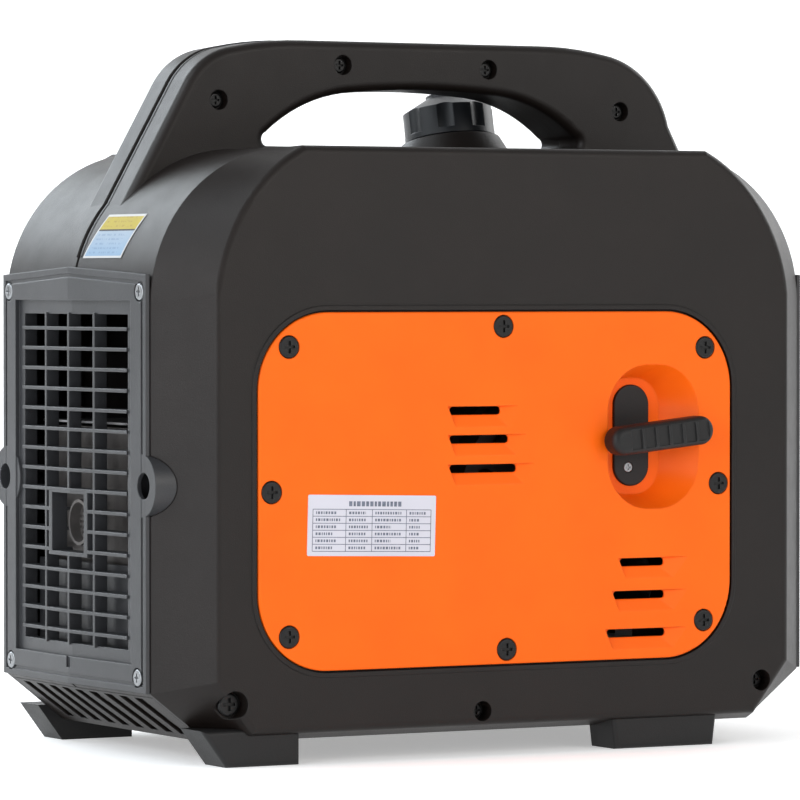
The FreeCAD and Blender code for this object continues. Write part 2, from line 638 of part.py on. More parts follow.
def starter_rope_winding():
    return tube(V(CRANK_X, LEAD_Y - 2.4, CRANK_Z), Y_AXIS, WIND_R + ROPE_R, WIND_R - ROPE_R, 4.8)


def recoil_spring():
    """Flat spiral of half turns, each on the other centre from the last."""
    pitch, start_r, thick, turns = 3.2, 11.0, 1.0, 7
    inner, outer = [], []
    x = CRANK_X
    radius = start_r
    for half_turn in range(2 * turns):
        sign = 1 if half_turn % 2 == 0 else -1
        for grow, chain in ((0, inner), (thick, outer)):
            r = radius + grow
            pts = [V(x + sign * r, 0, CRANK_Z), V(x, 0, CRANK_Z + sign * r), V(x - sign * r, 0, CRANK_Z)]
            chain.append(Part.Arc(*pts).toShape())
        x += sign * pitch / 2
        radius += pitch / 2
    ends = [Part.LineSegment(inner[0].Vertexes[0].Point, outer[0].Vertexes[0].Point).toShape(),
            Part.LineSegment(inner[-1].Vertexes[-1].Point, outer[-1].Vertexes[-1].Point).toShape()]
    band = Part.Face(Part.Wire(Part.__sortEdges__(inner + outer + ends)))
    band.translate(V(0, -114.2, 0))
    return band.extrude(V(0, 7.2, 0))


# ---- rotating parts --------------------------------------------------------
def at_crank(y):
    return V(CRANK_X, y, CRANK_Z)


def starter_cup():
    cup = cyl(at_crank(-92.5), Y_AXIS, 30, 8.5).cut(cyl(at_crank(-93), Y_AXIS, 27.5, 6.5))
    hub = cyl(at_crank(-92.0), Y_AXIS, 14, 8)
    windows = [cyl(V(CRANK_X + 21 * math.cos(a), -90, CRANK_Z + 21 * math.sin(a)), Y_AXIS, 4, 8)
               for a in [math.radians(60 * k) for k in range(6)]]
    return cut(fuse(cup, hub), cyl(at_crank(-95), Y_AXIS, SHAFT_R, 20), *windows)


def cooling_fan():
    disc = cyl(at_crank(-64.5), Y_AXIS, FAN_R, 2.5)
    hub = cyl(at_crank(-84), Y_AXIS, 20, 20)
    fan = disc.fuse(hub)
    for index in range(14):
        blade = box(18, FAN_R - 1, -82, -63, -1, 1)
        blade.rotate(V(18, 0, 0), Y_AXIS, 24)
        blade.rotate(V(0, 0, 0), Y_AXIS, 360.0 * index / 14)
        blade.translate(V(CRANK_X, 0, CRANK_Z))
        fan = fan.fuse(blade.common(cyl(at_crank(-90), Y_AXIS, FAN_R, 40)))
    return fan.removeSplitter().cut(cyl(at_crank(-90), Y_AXIS, SHAFT_R, 40))


def flywheel_rotor():
    cup = cyl(at_crank(-62), Y_AXIS, ROTOR_R, 32).cut(cyl(at_crank(-58), Y_AXIS, ROTOR_R - 6, 40))
    hub = cyl(at_crank(-60), Y_AXIS, 15, 4)
    return cut(fuse(cup, hub), cyl(at_crank(-70), Y_AXIS, SHAFT_R, 50))


def stator():
    core = tube(at_crank(-54), Y_AXIS, 34, 20 + RUN, 20)
    for index in range(12):
        tooth = box(30, ROTOR_R - 6.8, -54, -34, -3, 3)
        coil = box(34, 44, -56, -32, -5, 5)
        for piece in (tooth, coil):
            piece.rotate(V(0, 0, 0), Y_AXIS, 30.0 * index)
            piece.translate(V(CRANK_X, 0, CRANK_Z))
            core = core.fuse(piece)
    return core.removeSplitter()


def crankshaft():
    front = cyl(at_crank(-93.5), Y_AXIS, SHAFT_R, 96.5)
    web_a = cyl(at_crank(2), Y_AXIS, 30, 7)
    pin = cyl(V(CRANK_X, 8, CRANK_Z + 17), Y_AXIS, 8, 14)
    web_b = cyl(at_crank(21), Y_AXIS, 30, 7)
    rear = cyl(at_crank(27), Y_AXIS, SHAFT_R, 23)
    return fuse(front, web_a, pin, web_b, rear)


CASE_X0, CASE_X1 = CRANK_X - 48, CRANK_X + 48
CASE_Y0, CASE_Y1 = -24.0, 54.0
MOUNTS = [(CASE_X0 - 8, CASE_Y0 + 14), (CASE_X1 + 8, CASE_Y0 + 14),
          (CASE_X0 - 8, CASE_Y1 - 14), (CASE_X1 + 8, CASE_Y1 - 14)]


def crankcase():
    block = box(CASE_X0, CASE_X1, CASE_Y0, CASE_Y1, SUMP_Z, CRANK_Z + 48)
    block = block.makeFillet(10, [e for e in block.Edges if abs(e.BoundBox.YLength - (CASE_Y1 - CASE_Y0)) < 1])
    flange = cyl(at_crank(CASE_Y0 - 6), Y_AXIS, SHROUD_R, 6)
    nose = cyl(at_crank(CASE_Y0 - 30), Y_AXIS, 20, 31)
    feet = box(CASE_X0 - 22, CASE_X1 + 22, CASE_Y0, CASE_Y1, SUMP_Z, SUMP_Z + 7)
    body = fuse(block, flange, nose, feet)
    chamber = cyl(at_crank(-2), Y_AXIS, 33, 34)
    bore = cyl(at_crank(CASE_Y0 - 40), Y_AXIS, SHAFT_R + RUN, CASE_Y1 - CASE_Y0 + 37)
    barrel = cyl(V(CASE_X0 - 1, CYL_Y, CRANK_Z), X_AXIS, BORE_R, 40)
    spout = cyl(V(DIP_X, CASE_Y1 - 1, DIP_Z), Y_AXIS, 11, 8)
    spout_bore = cyl(V(DIP_X, CASE_Y1 - 30, DIP_Z), Y_AXIS, 7.5, 60)
    gallery = box(CRANK_X - 10, CRANK_X + 10, CYL_Y - 8, CYL_Y + 8, SUMP_Z + 8, CRANK_Z - 20)
    body = cut(body.fuse(spout), chamber, bore, barrel, spout_bore, gallery)
    for index in range(5):
        z = SUMP_Z + 16 + 12 * index
        body = body.fuse(box(CASE_X1 - 2, CASE_X1 + 5, CASE_Y0 + 8, CASE_Y1 - 8, z, z + 3))
    return body


DIP_X, DIP_Z = CASE_X1 - 18, SUMP_Z + 28


def oil_dipstick():
    seat_y = CASE_Y1 + 7
    head = cyl(V(DIP_X, seat_y + FIT, DIP_Z), Y_AXIS, 13, 7)
    wing = box(DIP_X - 12, DIP_X + 12, seat_y + 6, seat_y + 18, DIP_Z - 2.5, DIP_Z + 2.5)
    stick = cyl(V(DIP_X, seat_y - 30, DIP_Z), Y_AXIS, 7.5 - RUN, 31)
    return fuse(head, wing.makeFillet(1.5, edges_at(wing, "y", seat_y + 18)), stick)


def fin_block(x0, x1, half, pitch, fin):
    """Square cooling fins across the cylinder axis."""
    count = int((x0 - x1) // pitch) + 1
    shape = None
    for index in range(count):
        x = x0 - pitch * index
        plate = box(x - fin, x, CYL_Y - half, CYL_Y + half, CRANK_Z - half, CRANK_Z + half)
        plate = plate.makeFillet(9, [e for e in plate.Edges if abs(e.BoundBox.XLength - fin) < EPS])
        shape = plate if shape is None else shape.fuse(plate)
    return shape


CYL_END = CASE_X0 - 58
HEAD_END = CYL_END - 30
ROCKER_END = HEAD_END - 18


def on_bore(x):
    return V(x, CYL_Y, CRANK_Z)


def cylinder():
    sleeve = cyl(on_bore(CYL_END + FIT), X_AXIS, BORE_R + 8, CASE_X0 - CYL_END - 2 * FIT)
    body = sleeve.fuse(fin_block(CASE_X0 - 6, CYL_END + 4, 38, 8, 3))
    return body.removeSplitter().cut(cyl(on_bore(CYL_END - 1), X_AXIS, BORE_R, 80))


def cylinder_head():
    core = box(HEAD_END, CYL_END, CYL_Y - 30, CYL_Y + 30, CRANK_Z - 30, CRANK_Z + 30)
    body = core.fuse(fin_block(CYL_END, HEAD_END + 8, 42, 8, 3))
    plug_hole = cyl(V(PLUG_X, CYL_Y, CRANK_Z + 15), Z_AXIS, 6.0, 40)
    relief = box(PLUG_X - 13, PLUG_X + 13, CYL_Y - 13, CYL_Y + 13, CRANK_Z + 30, CRANK_Z + 50)
    inlet = cyl(V(PLUG_X, CYL_Y + 10, CRANK_Z), Y_AXIS, 9, 60)
    flat = box(PLUG_X - 20, PLUG_X + 20, CYL_Y + 30, CYL_Y + 50, CRANK_Z - 45, CRANK_Z + 20)
    outlet = cyl(V(PLUG_X, CYL_Y - 70, CRANK_Z), Y_AXIS, 9, 60)
    return cut(body.removeSplitter(), plug_hole, relief, flat, inlet, mirrored_flat(flat), outlet)


def mirrored_flat(shape):
    return shape.mirror(V(0, CYL_Y, 0), Y_AXIS)


PLUG_X = (CYL_END + HEAD_END) / 2


def rocker_cover():
    cover = box(ROCKER_END, HEAD_END - FIT, CYL_Y - 28, CYL_Y + 28, CRANK_Z - 28, CRANK_Z + 28)
    cover = cover.makeFillet(6, edges_at(cover, "x", ROCKER_END))
    return cover.cut(box(ROCKER_END + 3, HEAD_END, CYL_Y - 24, CYL_Y + 24, CRANK_Z - 24, CRANK_Z + 24))


def spark_plug():
    base = V(PLUG_X, CYL_Y, CRANK_Z + 16)
    thread = cyl(base, Z_AXIS, 6.0 - RUN, 15)
    hexagon = Part.makePolygon([V(PLUG_X + 9 * math.cos(math.radians(60 * k)),
                                  CYL_Y + 9 * math.sin(math.radians(60 * k)),
                                  CRANK_Z + 30 + FIT) for k in range(7)])
    nut = Part.Face(hexagon).extrude(V(0, 0, 9))
    boot = cyl(V(PLUG_X, CYL_Y, CRANK_Z + 38), Z_AXIS, 8.0, 30)
    lead = cyl(V(PLUG_X, CYL_Y, CRANK_Z + 60), X_AXIS, 5.0, 22)
    return fuse(thread, nut, boot, lead)


def ignition_coil():
    y0, y1 = CASE_Y0 - 30, CASE_Y0 - 6 - FIT
    core = box(CRANK_X - 15, CRANK_X + 15, y0, y1, CRANK_Z + ROTOR_R + 4, CRANK_Z + ROTOR_R + 11)
    arc = cyl(at_crank(y0 - 1), Y_AXIS, ROTOR_R + 0.8, 60)
    legs = box(CRANK_X - 15, CRANK_X + 15, y0 + 4, y1 - 4, CRANK_Z + ROTOR_R - 6, CRANK_Z + ROTOR_R + 5)
    middle = box(CRANK_X - 8, CRANK_X + 8, y0, y1, CRANK_Z + ROTOR_R - 8, CRANK_Z + ROTOR_R + 4)
    shape = cut(fuse(core, cut(legs, middle)), arc)
    return shape.common(cyl(at_crank(y0), Y_AXIS, SHROUD_R - 3 - FIT, 60))


def fan_shroud():
    y0, y1 = -92.0, CASE_Y0 - 6
    barrel = tube(at_crank(y0), Y_AXIS, SHROUD_R, SHROUD_R - 3, y1 - y0)
    lip = tube(at_crank(y0), Y_AXIS, SHROUD_R, 58, 2.0)
    outlet = box(CRANK_X - 80, CRANK_X - 40, -56, y1 - 4, CRANK_Z - 26, CRANK_Z + 26)
    return cut(fuse(barrel, lip), outlet)


def engine_mounts():
    pads = []
    for x, y in MOUNTS:
        pad = cyl(V(x, y, MOUNT_SEAT_Z), Z_AXIS, 12, SUMP_Z - MOUNT_SEAT_Z)
        waist = tube(V(x, y, MOUNT_SEAT_Z + 9), Z_AXIS, 13, 10, 7)
        pads.append(pad.cut(waist))
    return Part.makeCompound(pads)


# ---- intake, exhaust, fuel, electrics ---------------------------------------
HOSE_X, HOSE_Y = PLUG_X, CYL_Y + 70


def carburettor():
    start = CYL_Y + 30 + FIT
    body = cyl(V(PLUG_X, start, CRANK_Z), Y_AXIS, 15, 62)
    flange = box(PLUG_X - 14, PLUG_X + 14, start, start + 5, CRANK_Z - 17, CRANK_Z + 17)
    bowl = cyl(V(PLUG_X, HOSE_Y - 24, CRANK_Z - 40), Z_AXIS, 13, 32)
    union = cyl(V(PLUG_X, HOSE_Y, CRANK_Z), Z_AXIS, 3.2, 30)
    throat = cyl(V(PLUG_X, start - 1, CRANK_Z), Y_AXIS, 9, 80)
    return cut(fuse(body, flange, bowl, union), throat)


def fuel_hose():
    low, high = CRANK_Z + 18, 296.0 - 2
    return tube(V(HOSE_X, HOSE_Y, low), Z_AXIS, 5.0, 3.2 + RUN, high - low)


def air_cleaner_case():
    y0 = CYL_Y + 30 + FIT + 62
    y1 = COVER_BACK - 6
    case = box(PLUG_X - 62, PLUG_X + 40, y0, y1, CRANK_Z - 55, CRANK_Z + 60)
    case = case.makeFillet(7, case.Edges)
    return case.cut(box(PLUG_X - 57, PLUG_X + 35, y0 + 3, y1 - 3, CRANK_Z - 50, CRANK_Z + 55)).cut(
        cyl(V(PLUG_X, y0 - 1, CRANK_Z), Y_AXIS, 9, 6))


MUFFLER_X0, MUFFLER_X1 = -HALF_L + 20, ROCKER_END - 6
MUFFLER_Z = (WINDOW_Z0 + WINDOW_Z1) / 2
OUTLET_Y = (WINDOW_Y0 + WINDOW_Y1) / 2
OUTLET_R = 15.0


def muffler():
    can = box(MUFFLER_X0, MUFFLER_X1, -66, 74, MUFFLER_Z - 48, MUFFLER_Z + 62)
    can = can.makeFillet(16, [e for e in can.Edges if e.BoundBox.XLength > 40])
    band = box(MUFFLER_X0 + 30, MUFFLER_X0 + 33, -68, 76, MUFFLER_Z - 50, MUFFLER_Z + 64)
    band = band.makeFillet(17, [e for e in band.Edges if abs(e.BoundBox.XLength - 3) < EPS])
    inside = box(MUFFLER_X0 + 2, MUFFLER_X1 - 2, -62, 70, MUFFLER_Z - 44, MUFFLER_Z + 58)
    bore = cyl(V(MUFFLER_X0 - 1, OUTLET_Y, MUFFLER_Z), X_AXIS, OUTLET_R + FIT, 6)
    port = cyl(V(MUFFLER_X1 - 14, -70, CRANK_Z), Y_AXIS, 9.2, 12)
    feet = []
    for y in (-50, 50):
        feet.append(box(MUFFLER_X0 + 30, MUFFLER_X1 - 10, y, y + 12, FLOOR_Z + FIT, MUFFLER_Z - 46))
    return cut(fuse(can, band, *feet), inside, bore, port)


def exhaust_outlet():
    pipe = tube(V(MUFFLER_X0 - 13, OUTLET_Y, MUFFLER_Z), X_AXIS, OUTLET_R, OUTLET_R - 2, 20)
    screen = cyl(V(MUFFLER_X0 - 6, OUTLET_Y, MUFFLER_Z), X_AXIS, OUTLET_R, 1.2)
    holes = []
    for row in range(-3, 4):
        for column in range(-3, 4):
            y, z = 3.6 * column, 3.6 * row
            if math.hypot(y, z) < OUTLET_R - 3.4:
                holes.append(cyl(V(MUFFLER_X0 - 7, OUTLET_Y + y, MUFFLER_Z + z), X_AXIS, 1.1, 4))
    return cut(fuse(pipe, screen), *holes)


def exhaust_pipe():
    """From the head's outlet port round into the side of the silencer."""
    y_head = CYL_Y - 30 - FIT
    y_out = -92.0
    radius = 16.0
    x_far = MUFFLER_X1 - 14
    arcs = math.sqrt(0.5) * radius
    p = [V(PLUG_X, y_head, CRANK_Z), V(PLUG_X, y_out + radius, CRANK_Z),
         V(PLUG_X - radius + arcs, y_out + radius - arcs, CRANK_Z), V(PLUG_X - radius, y_out, CRANK_Z),
         V(x_far + radius, y_out, CRANK_Z), V(x_far + radius - arcs, y_out + radius - arcs, CRANK_Z),
         V(x_far, y_out + radius, CRANK_Z), V(x_far, -64, CRANK_Z)]
    path = Part.Wire([Part.LineSegment(p[0], p[1]).toShape(), Part.Arc(p[1], p[2], p[3]).toShape(),
                      Part.LineSegment(p[3], p[4]).toShape(), Part.Arc(p[4], p[5], p[6]).toShape(),
                      Part.LineSegment(p[6], p[7]).toShape()])
    ring = Part.Wire(Part.makeCircle(9, p[0], p[1].sub(p[0])))
    pipe = path.makePipeShell([ring], True, False)
    flange = box(PLUG_X - 14, PLUG_X + 14, y_head - 6, y_head, CRANK_Z - 14, CRANK_Z + 14)
    return pipe.fuse(flange).removeSplitter()


def heat_shield():
    """Bent sheet over the silencer, with a slanted front wall behind the grille."""
    x0, x1 = MUFFLER_X0 - 4, MUFFLER_X1
    top = MUFFLER_Z + 64 + FIT
    slant = [V(x0, -58, top + 62), V(x0, -92, top + 62), V(x0, -92, top - 10), V(x0, -78, top - 10)]
    front = polygon(slant).extrude(V(1.5, 0, 0))
    side = box(x0, x1, -93.5, -92, top - 10, top + 62)
    roof = box(x0, x1, -93, 78, top, top + 1.5)
    return fuse(front, side, roof)


def inverter_unit():
    base = box(120, 198, -72, 96, FLOOR_Z + FIT, 62)
    for index in range(9):
        x = 121 + 8.6 * index
        base = base.cut(box(x + 2, x + 7, -80, 100, 46, 70))
    terminal = box(135, 185, -72, -50, 60, 74)
    return base.fuse(terminal)


def bottom_pan():
    tray = case_block(0).common(pan_zone(0)).cut(case_block(WALL))
    for index in range(9):
        y = -84 + 21 * index
        slot = [V(-LENGTH, y - 6, 18), V(-LENGTH, y + 5, 18), V(-LENGTH, y + 9, 42), V(-LENGTH, y - 2, 42)]
        tray = tray.cut(polygon(slot).extrude(V(LENGTH - SIDE_X + CHAMFER_X, 0, 0)))
    for x, y in MOUNTS:
        tray = tray.fuse(cyl(V(x, y, FLOOR_Z - 1), Z_AXIS, 15, MOUNT_SEAT_Z - FLOOR_Z + 1))
    for index in range(7):
        x = -120 + 40 * index
        tray = tray.cut(box(x - 12, x + 12, 72, 78, 0, FLOOR_Z + 5))
    return tray


def rubber_feet():
    """The exhaust-end pair follows the chamfer down to the floor; the other pair is plain."""
    feet = []
    block = case_block(0)
    chamfer_foot = [V(-222, -137, 24), V(-204, -137, 0), V(-152, -137, 0), V(-152, -137, 24)]
    plain = [V(80, -137, 24), V(83, -137, 0), V(159, -137, 0), V(162, -137, 24)]
    for outline in (chamfer_foot, plain):
        foot = polygon(outline).extrude(V(0, 31, 0))
        foot = foot.makeFillet(3, edges_at(foot, "y", -137)).cut(block)
        lower = min(foot.Solids, key=lambda s: s.BoundBox.ZMin)
        feet += [lower, mirrored_y(lower)]
    return Part.makeCompound(feet)


# ---- ends ------------------------------------------------------------------
def end_x(y, proud):
    """Outer X of an end at a given Y, measured outwards."""
    return HALF_L - CROWN * min(abs(y) / BEVEL_START, 1) + proud


def end_slab(half, low, high, peak, out, back):
    """Plate that follows the crowned end, from back to out past the shell's surface."""
    wires = []
    for y, rise in ((-half, 0), (0, peak), (half, 0)):
        x0, x1 = end_x(y, back), end_x(y, out)
        pts = [V(x0, y, low), V(x1, y, low), V(x1, y, high + rise), V(x0, y, high + rise)]
        wires.append(Part.makePolygon(pts + pts[:1]))
    return Part.makeLoft(wires, True, True)


def ear_block(sign, grow, length):
    return cyl(V(-HALF_L - END_PROUD - 1, sign * EAR_Y, EAR_Z), X_AXIS, EAR_R + grow, length)


def to_exhaust_end(shape):
    return shape.mirror(V(0, 0, 0), X_AXIS)


END_SCREWS = [(-98, 301), (98, 301), (-95, 56), (95, 56)]


def exhaust_end_cover():
    skin = end_slab(END_HALF_Y, END_LOW, END_HIGH, END_PEAK, END_PROUD, FIT)
    frame = end_slab(GRILLE_HALF_Y + 12, GRILLE_LOW - 12, GRILLE_HIGH + 12, 0, END_PROUD, -9)
    cover = skin.fuse(frame)
    groove = cut(end_slab(END_HALF_Y - 4, END_LOW + 4, END_HIGH - 4, END_PEAK, 9, END_PROUD - 1.2),
                 end_slab(END_HALF_Y - 6.5, END_LOW + 6.5, END_HIGH - 6.5, END_PEAK, 10, 0))
    recess = end_slab(GRILLE_HALF_Y + 9, GRILLE_LOW - 9, GRILLE_HIGH + 9, 0, 10, END_PROUD - 3.0)
    hole = end_slab(GRILLE_HALF_Y, GRILLE_LOW, GRILLE_HIGH, 0, 20, -30)
    cover = cut(cover, groove, recess, hole)
    out, back = END_PROUD - 1.5, END_PROUD - 1.5 - RIB_DEPTH
    pitch = (GRILLE_HIGH - GRILLE_LOW) / (GRILLE_ROWS + 0.3)
    for row in range(GRILLE_ROWS):
        z = GRILLE_HIGH - 10.5 - pitch * row
        cover = cover.fuse(end_slab(GRILLE_HALF_Y + 1, z, z + RIB_T, 0, out, back))
    for y in (39.5, 3.0, -33.0):
        bar = end_slab(GRILLE_HALF_Y, GRILLE_LOW - 1, GRILLE_HIGH + 1, 0, out, back + 6)
        cover = cover.fuse(bar.common(box(0, LENGTH, y - BAR_T / 2, y + BAR_T / 2, 0, DECK_Z)))
    blank = end_slab(GRILLE_HALF_Y + 1, GRILLE_LOW - 1, GRILLE_LOW + 4 * pitch, 0, back + 2.5, back)
    cover = cover.fuse(blank)
    window_rim = box(0, LENGTH, WINDOW_Y0 - 5, WINDOW_Y1 + 5, WINDOW_Z0 - 2.5, WINDOW_Z1 + 2.5)
    window = box(0, LENGTH, WINDOW_Y0, WINDOW_Y1, WINDOW_Z0, WINDOW_Z1)
    bars = end_slab(60, GRILLE_LOW, GRILLE_HIGH, 0, out, back + 4)
    cover = cover.fuse(bars.common(window_rim)).cut(window)
    ridge = end_slab(88, 60.5, 64, 0, END_PROUD + 0.0, END_PROUD - 2)
    notch = box(0, LENGTH, -3, 3, 57, 64)
    cover = cover.fuse(ridge)
    cover = cover.cut(notch.common(end_slab(20, 50, 70, 0, 9, END_PROUD - 1.5)))
    ears, wells = [], []
    for sign in (-1, 1):
        y = sign * EAR_Y
        lobe = cyl(V(end_x(END_HALF_Y, -EAR_DEPTH), y, EAR_Z), X_AXIS, EAR_R, EAR_DEPTH + END_PROUD)
        lobe = lobe.cut(end_slab(GRILLE_HALF_Y + 12, 0, DECK_Z, 0, FIT, -60))
        lobe = lobe.cut(box(0, LENGTH, -BEVEL_START, BEVEL_START, 0, DECK_Z).common(
            end_slab(END_HALF_Y + 1, 0, DECK_Z, 0, FIT, -60)))
        ears.append(lobe)
        wells.append(cyl(V(end_x(END_HALF_Y, -EAR_SEAT), y + sign * 3, EAR_Z), X_AXIS, 8.5, 40))
        wells.append(cyl(V(end_x(END_HALF_Y, -30), y + sign * 3, EAR_Z), X_AXIS, SCREW_R, 40))
    cover = cut(fuse(cover, *ears), *wells)
    for y, z in END_SCREWS:
        cover = cover.cut(cyl(V(end_x(y, 1.2), y, z), X_AXIS, 6.5, 20))
        cover = cover.cut(cyl(V(end_x(y, -5), y, z), X_AXIS, SCREW_R + 0.2, 20))
    return to_exhaust_end(cover)


def end_screws():
    screws = []
    for y, z in END_SCREWS:
        screw = pan_screw(V(end_x(y, 1.2), y, z), X_AXIS, 5.5, 2.2, 10)
        screws += [screw, to_exhaust_end(screw)]
    for sign in (-1, 1):
        seat = V(end_x(END_HALF_Y, -EAR_SEAT), sign * (EAR_Y + 3), EAR_Z)
        screws.append(to_exhaust_end(pan_screw(seat, X_AXIS, 6.0, 3.0, 10)))
    return Part.makeCompound(screws)


def end_cover_bosses():
    """Bosses behind the ends that the end screws bite into, each with its bore."""
    bosses = []
    for y, z in END_SCREWS:
        boss = cyl(V(end_x(y, -14), y, z), X_AXIS, 5.5, 12)
        bore = cyl(V(end_x(y, -13), y, z), X_AXIS, SCREW_R, 30)
        bosses += [(boss, bore), (to_exhaust_end(boss), to_exhaust_end(bore))]
    return bosses


PANEL_FACE = LENGTH / 2 - PANEL_DEPTH
PANEL_HALF = END_HALF_Y - END_RIM
PANEL_LOW, PANEL_TOP = END_LOW + END_RIM, END_HIGH - END_RIM
AC_Y, AC_Z, AC_PITCH = 40.0, 110.0, 66.0
AC_R = 19.5
BUTTONS = [("ac_breaker_button", -30.0, 130.0), ("dc_breaker_button", -30.0, 92.0)]
BUTTON_R = 6.0
DC_Y, DC_Z = -66.0, 112.0
USB_Y, USB_Z = -66.0, 158.0
LAMP_Y, LAMP_Z, LAMP_R = -40.0, 262.0, 5.0
ROCKER_Y, ROCKER_Z = 62.0, 258.0
SWITCH_Y, SWITCH_Z, SWITCH_R = 12.0, 218.0, 24.0
EARTH_Y, EARTH_Z = -66.0, 78.0
PARALLEL_Y, PARALLEL_Z = -62.0, 205.0


def panel_hole(y, z, radius):
    return cyl(V(PANEL_FACE - 30, y, z), X_AXIS, radius, 80)


def control_panel():
    rim = end_slab(END_HALF_Y, END_LOW, END_HIGH, END_PEAK, END_PROUD, FIT)
    well = box(PANEL_FACE - 3, HALF_L + 1, -PANEL_HALF, PANEL_HALF, PANEL_LOW, PANEL_TOP)
    inner = box(PANEL_FACE, LENGTH, -PANEL_HALF + 3, PANEL_HALF - 3, PANEL_LOW + 3, PANEL_TOP - 3)
    inner = inner.makeFillet(7, [e for e in inner.Edges if e.BoundBox.XLength > 40])
    panel = fuse(rim, well).cut(inner)
    tools = [panel_hole(y, z, BUTTON_R + 0.3) for name, y, z in BUTTONS]
    for side in (0, 1):
        tools.append(panel_hole(AC_Y, AC_Z + AC_PITCH * side - 10, AC_R + FIT))
    tools.append(panel_hole(DC_Y, DC_Z, 12.0 + FIT))
    tools.append(box(PANEL_FACE - 10, LENGTH, USB_Y - 14 - FIT, USB_Y + 14 + FIT,
                     USB_Z - 9 - FIT, USB_Z + 9 + FIT))
    for index in range(3):
        tools.append(panel_hole(LAMP_Y + 18 * index, LAMP_Z, LAMP_R + FIT))
    tools.append(box(PANEL_FACE - 10, LENGTH, ROCKER_Y - 8, ROCKER_Y + 8, ROCKER_Z - 13, ROCKER_Z + 13))
    tools.append(panel_hole(SWITCH_Y, SWITCH_Z, 6.0 + RUN))
    tools.append(panel_hole(EARTH_Y, EARTH_Z, 3.0 + FIT))
    for side in (-1, 1):
        tools.append(panel_hole(PARALLEL_Y + 11 * side, PARALLEL_Z, 6.0 + FIT))
    panel = cut(panel, *tools)
    for y, z in END_SCREWS:
        panel = panel.cut(cyl(V(end_x(y, 1.2), y, z), X_AXIS, 6.5, 20))
        panel = panel.cut(cyl(V(end_x(y, -5), y, z), X_AXIS, SCREW_R + 0.2, 20))
    return panel


def ac_sockets():
    sockets = []
    clip_r, clip_half = AC_R - 0.95, 0.7      # earth contacts let into the well's wall
    for side in (0, 1):
        z = AC_Z + AC_PITCH * side - 10
        body = cyl(V(PANEL_FACE - 28, AC_Y, z), X_AXIS, AC_R, 29)
        flange = cyl(V(PANEL_FACE + FIT, AC_Y, z), X_AXIS, AC_R + 6, 3.5)
        flange = flange.makeFillet(1.5, edges_at(flange, "x", PANEL_FACE + FIT + 3.5))
        well = cyl(V(PANEL_FACE - 13, AC_Y, z), X_AXIS, AC_R - 1.5, 30)
        pins = [cyl(V(PANEL_FACE - 26, AC_Y + 9.5 * k, z), X_AXIS, 2.4, 20) for k in (-1, 1)]
        clips = [box(PANEL_FACE - 13.5, PANEL_FACE - 6.5, AC_Y - 2, AC_Y + 2,
                     z + k * clip_r - clip_half, z + k * clip_r + clip_half) for k in (-1, 1)]
        sockets.append(fuse(cut(fuse(body, flange), well, *pins), *clips))
    return Part.makeCompound(sockets)


def low_voltage_sockets():
    """The round 12 V outlet and the twin charging port."""
    body = cyl(V(PANEL_FACE - 26, DC_Y, DC_Z), X_AXIS, 12, 27)
    flange = cyl(V(PANEL_FACE + FIT, DC_Y, DC_Z), X_AXIS, 15, 2.5)
    well = cyl(V(PANEL_FACE - 24, DC_Y, DC_Z), X_AXIS, 10.2, 40)
    round_outlet = cut(fuse(body, flange), well)
    body = box(PANEL_FACE - 16, PANEL_FACE + 1.5, USB_Y - 14, USB_Y + 14, USB_Z - 9, USB_Z + 9)
    flange = box(PANEL_FACE + FIT, PANEL_FACE + 2.2, USB_Y - 17, USB_Y + 17, USB_Z - 12, USB_Z + 12)
    flange = flange.makeFillet(3, [e for e in flange.Edges if abs(e.BoundBox.XLength - 2.0) < EPS])
    ports = [box(PANEL_FACE - 12, PANEL_FACE + 5, USB_Y - 6.5, USB_Y + 6.5, USB_Z + dz - 2.4, USB_Z + dz + 2.4)
             for dz in (-5, 5)]
    return Part.makeCompound([round_outlet, cut(fuse(body, flange), *ports)])


def breaker_button(y, z):
    stem = cyl(V(PANEL_FACE - 12, y, z), X_AXIS, BUTTON_R, 18)
    stem = stem.makeFillet(1.5, edges_at(stem, "x", PANEL_FACE + 6))
    keeper = cyl(V(PANEL_FACE - 7, y, z), X_AXIS, BUTTON_R + 2, 3)
    return fuse(stem, keeper)


def panel_switchgear():
    """Behind the panel: the two breakers that guide their buttons, and the rotary switch."""
    shape = None
    for name, y, z in BUTTONS:
        body = box(PANEL_FACE - 34, PANEL_FACE - 3 - FIT, y - 13, y + 13, z - 14, z + 14)
        well = cyl(V(PANEL_FACE - 18, y, z), X_AXIS, BUTTON_R + 2.4, 20)
        body = body.cut(well)
        shape = body if shape is None else shape.fuse(body)
    bridge = box(PANEL_FACE - 34, PANEL_FACE - 3 - FIT, -43, -17, 100, 120)
    return Part.makeCompound([fuse(shape, bridge), rotary_switch()])


def indicator_lamps():
    lamps = []
    for index in range(3):
        y = LAMP_Y + 18 * index
        lens = cyl(V(PANEL_FACE - 8, y, LAMP_Z), X_AXIS, LAMP_R, 10)
        lens = lens.makeFillet(1.8, edges_at(lens, "x", PANEL_FACE + 2))
        lamps.append(lens.fuse(cyl(V(PANEL_FACE - 8, y, LAMP_Z), X_AXIS, LAMP_R + 2, 5 - FIT)))
    return Part.makeCompound(lamps)


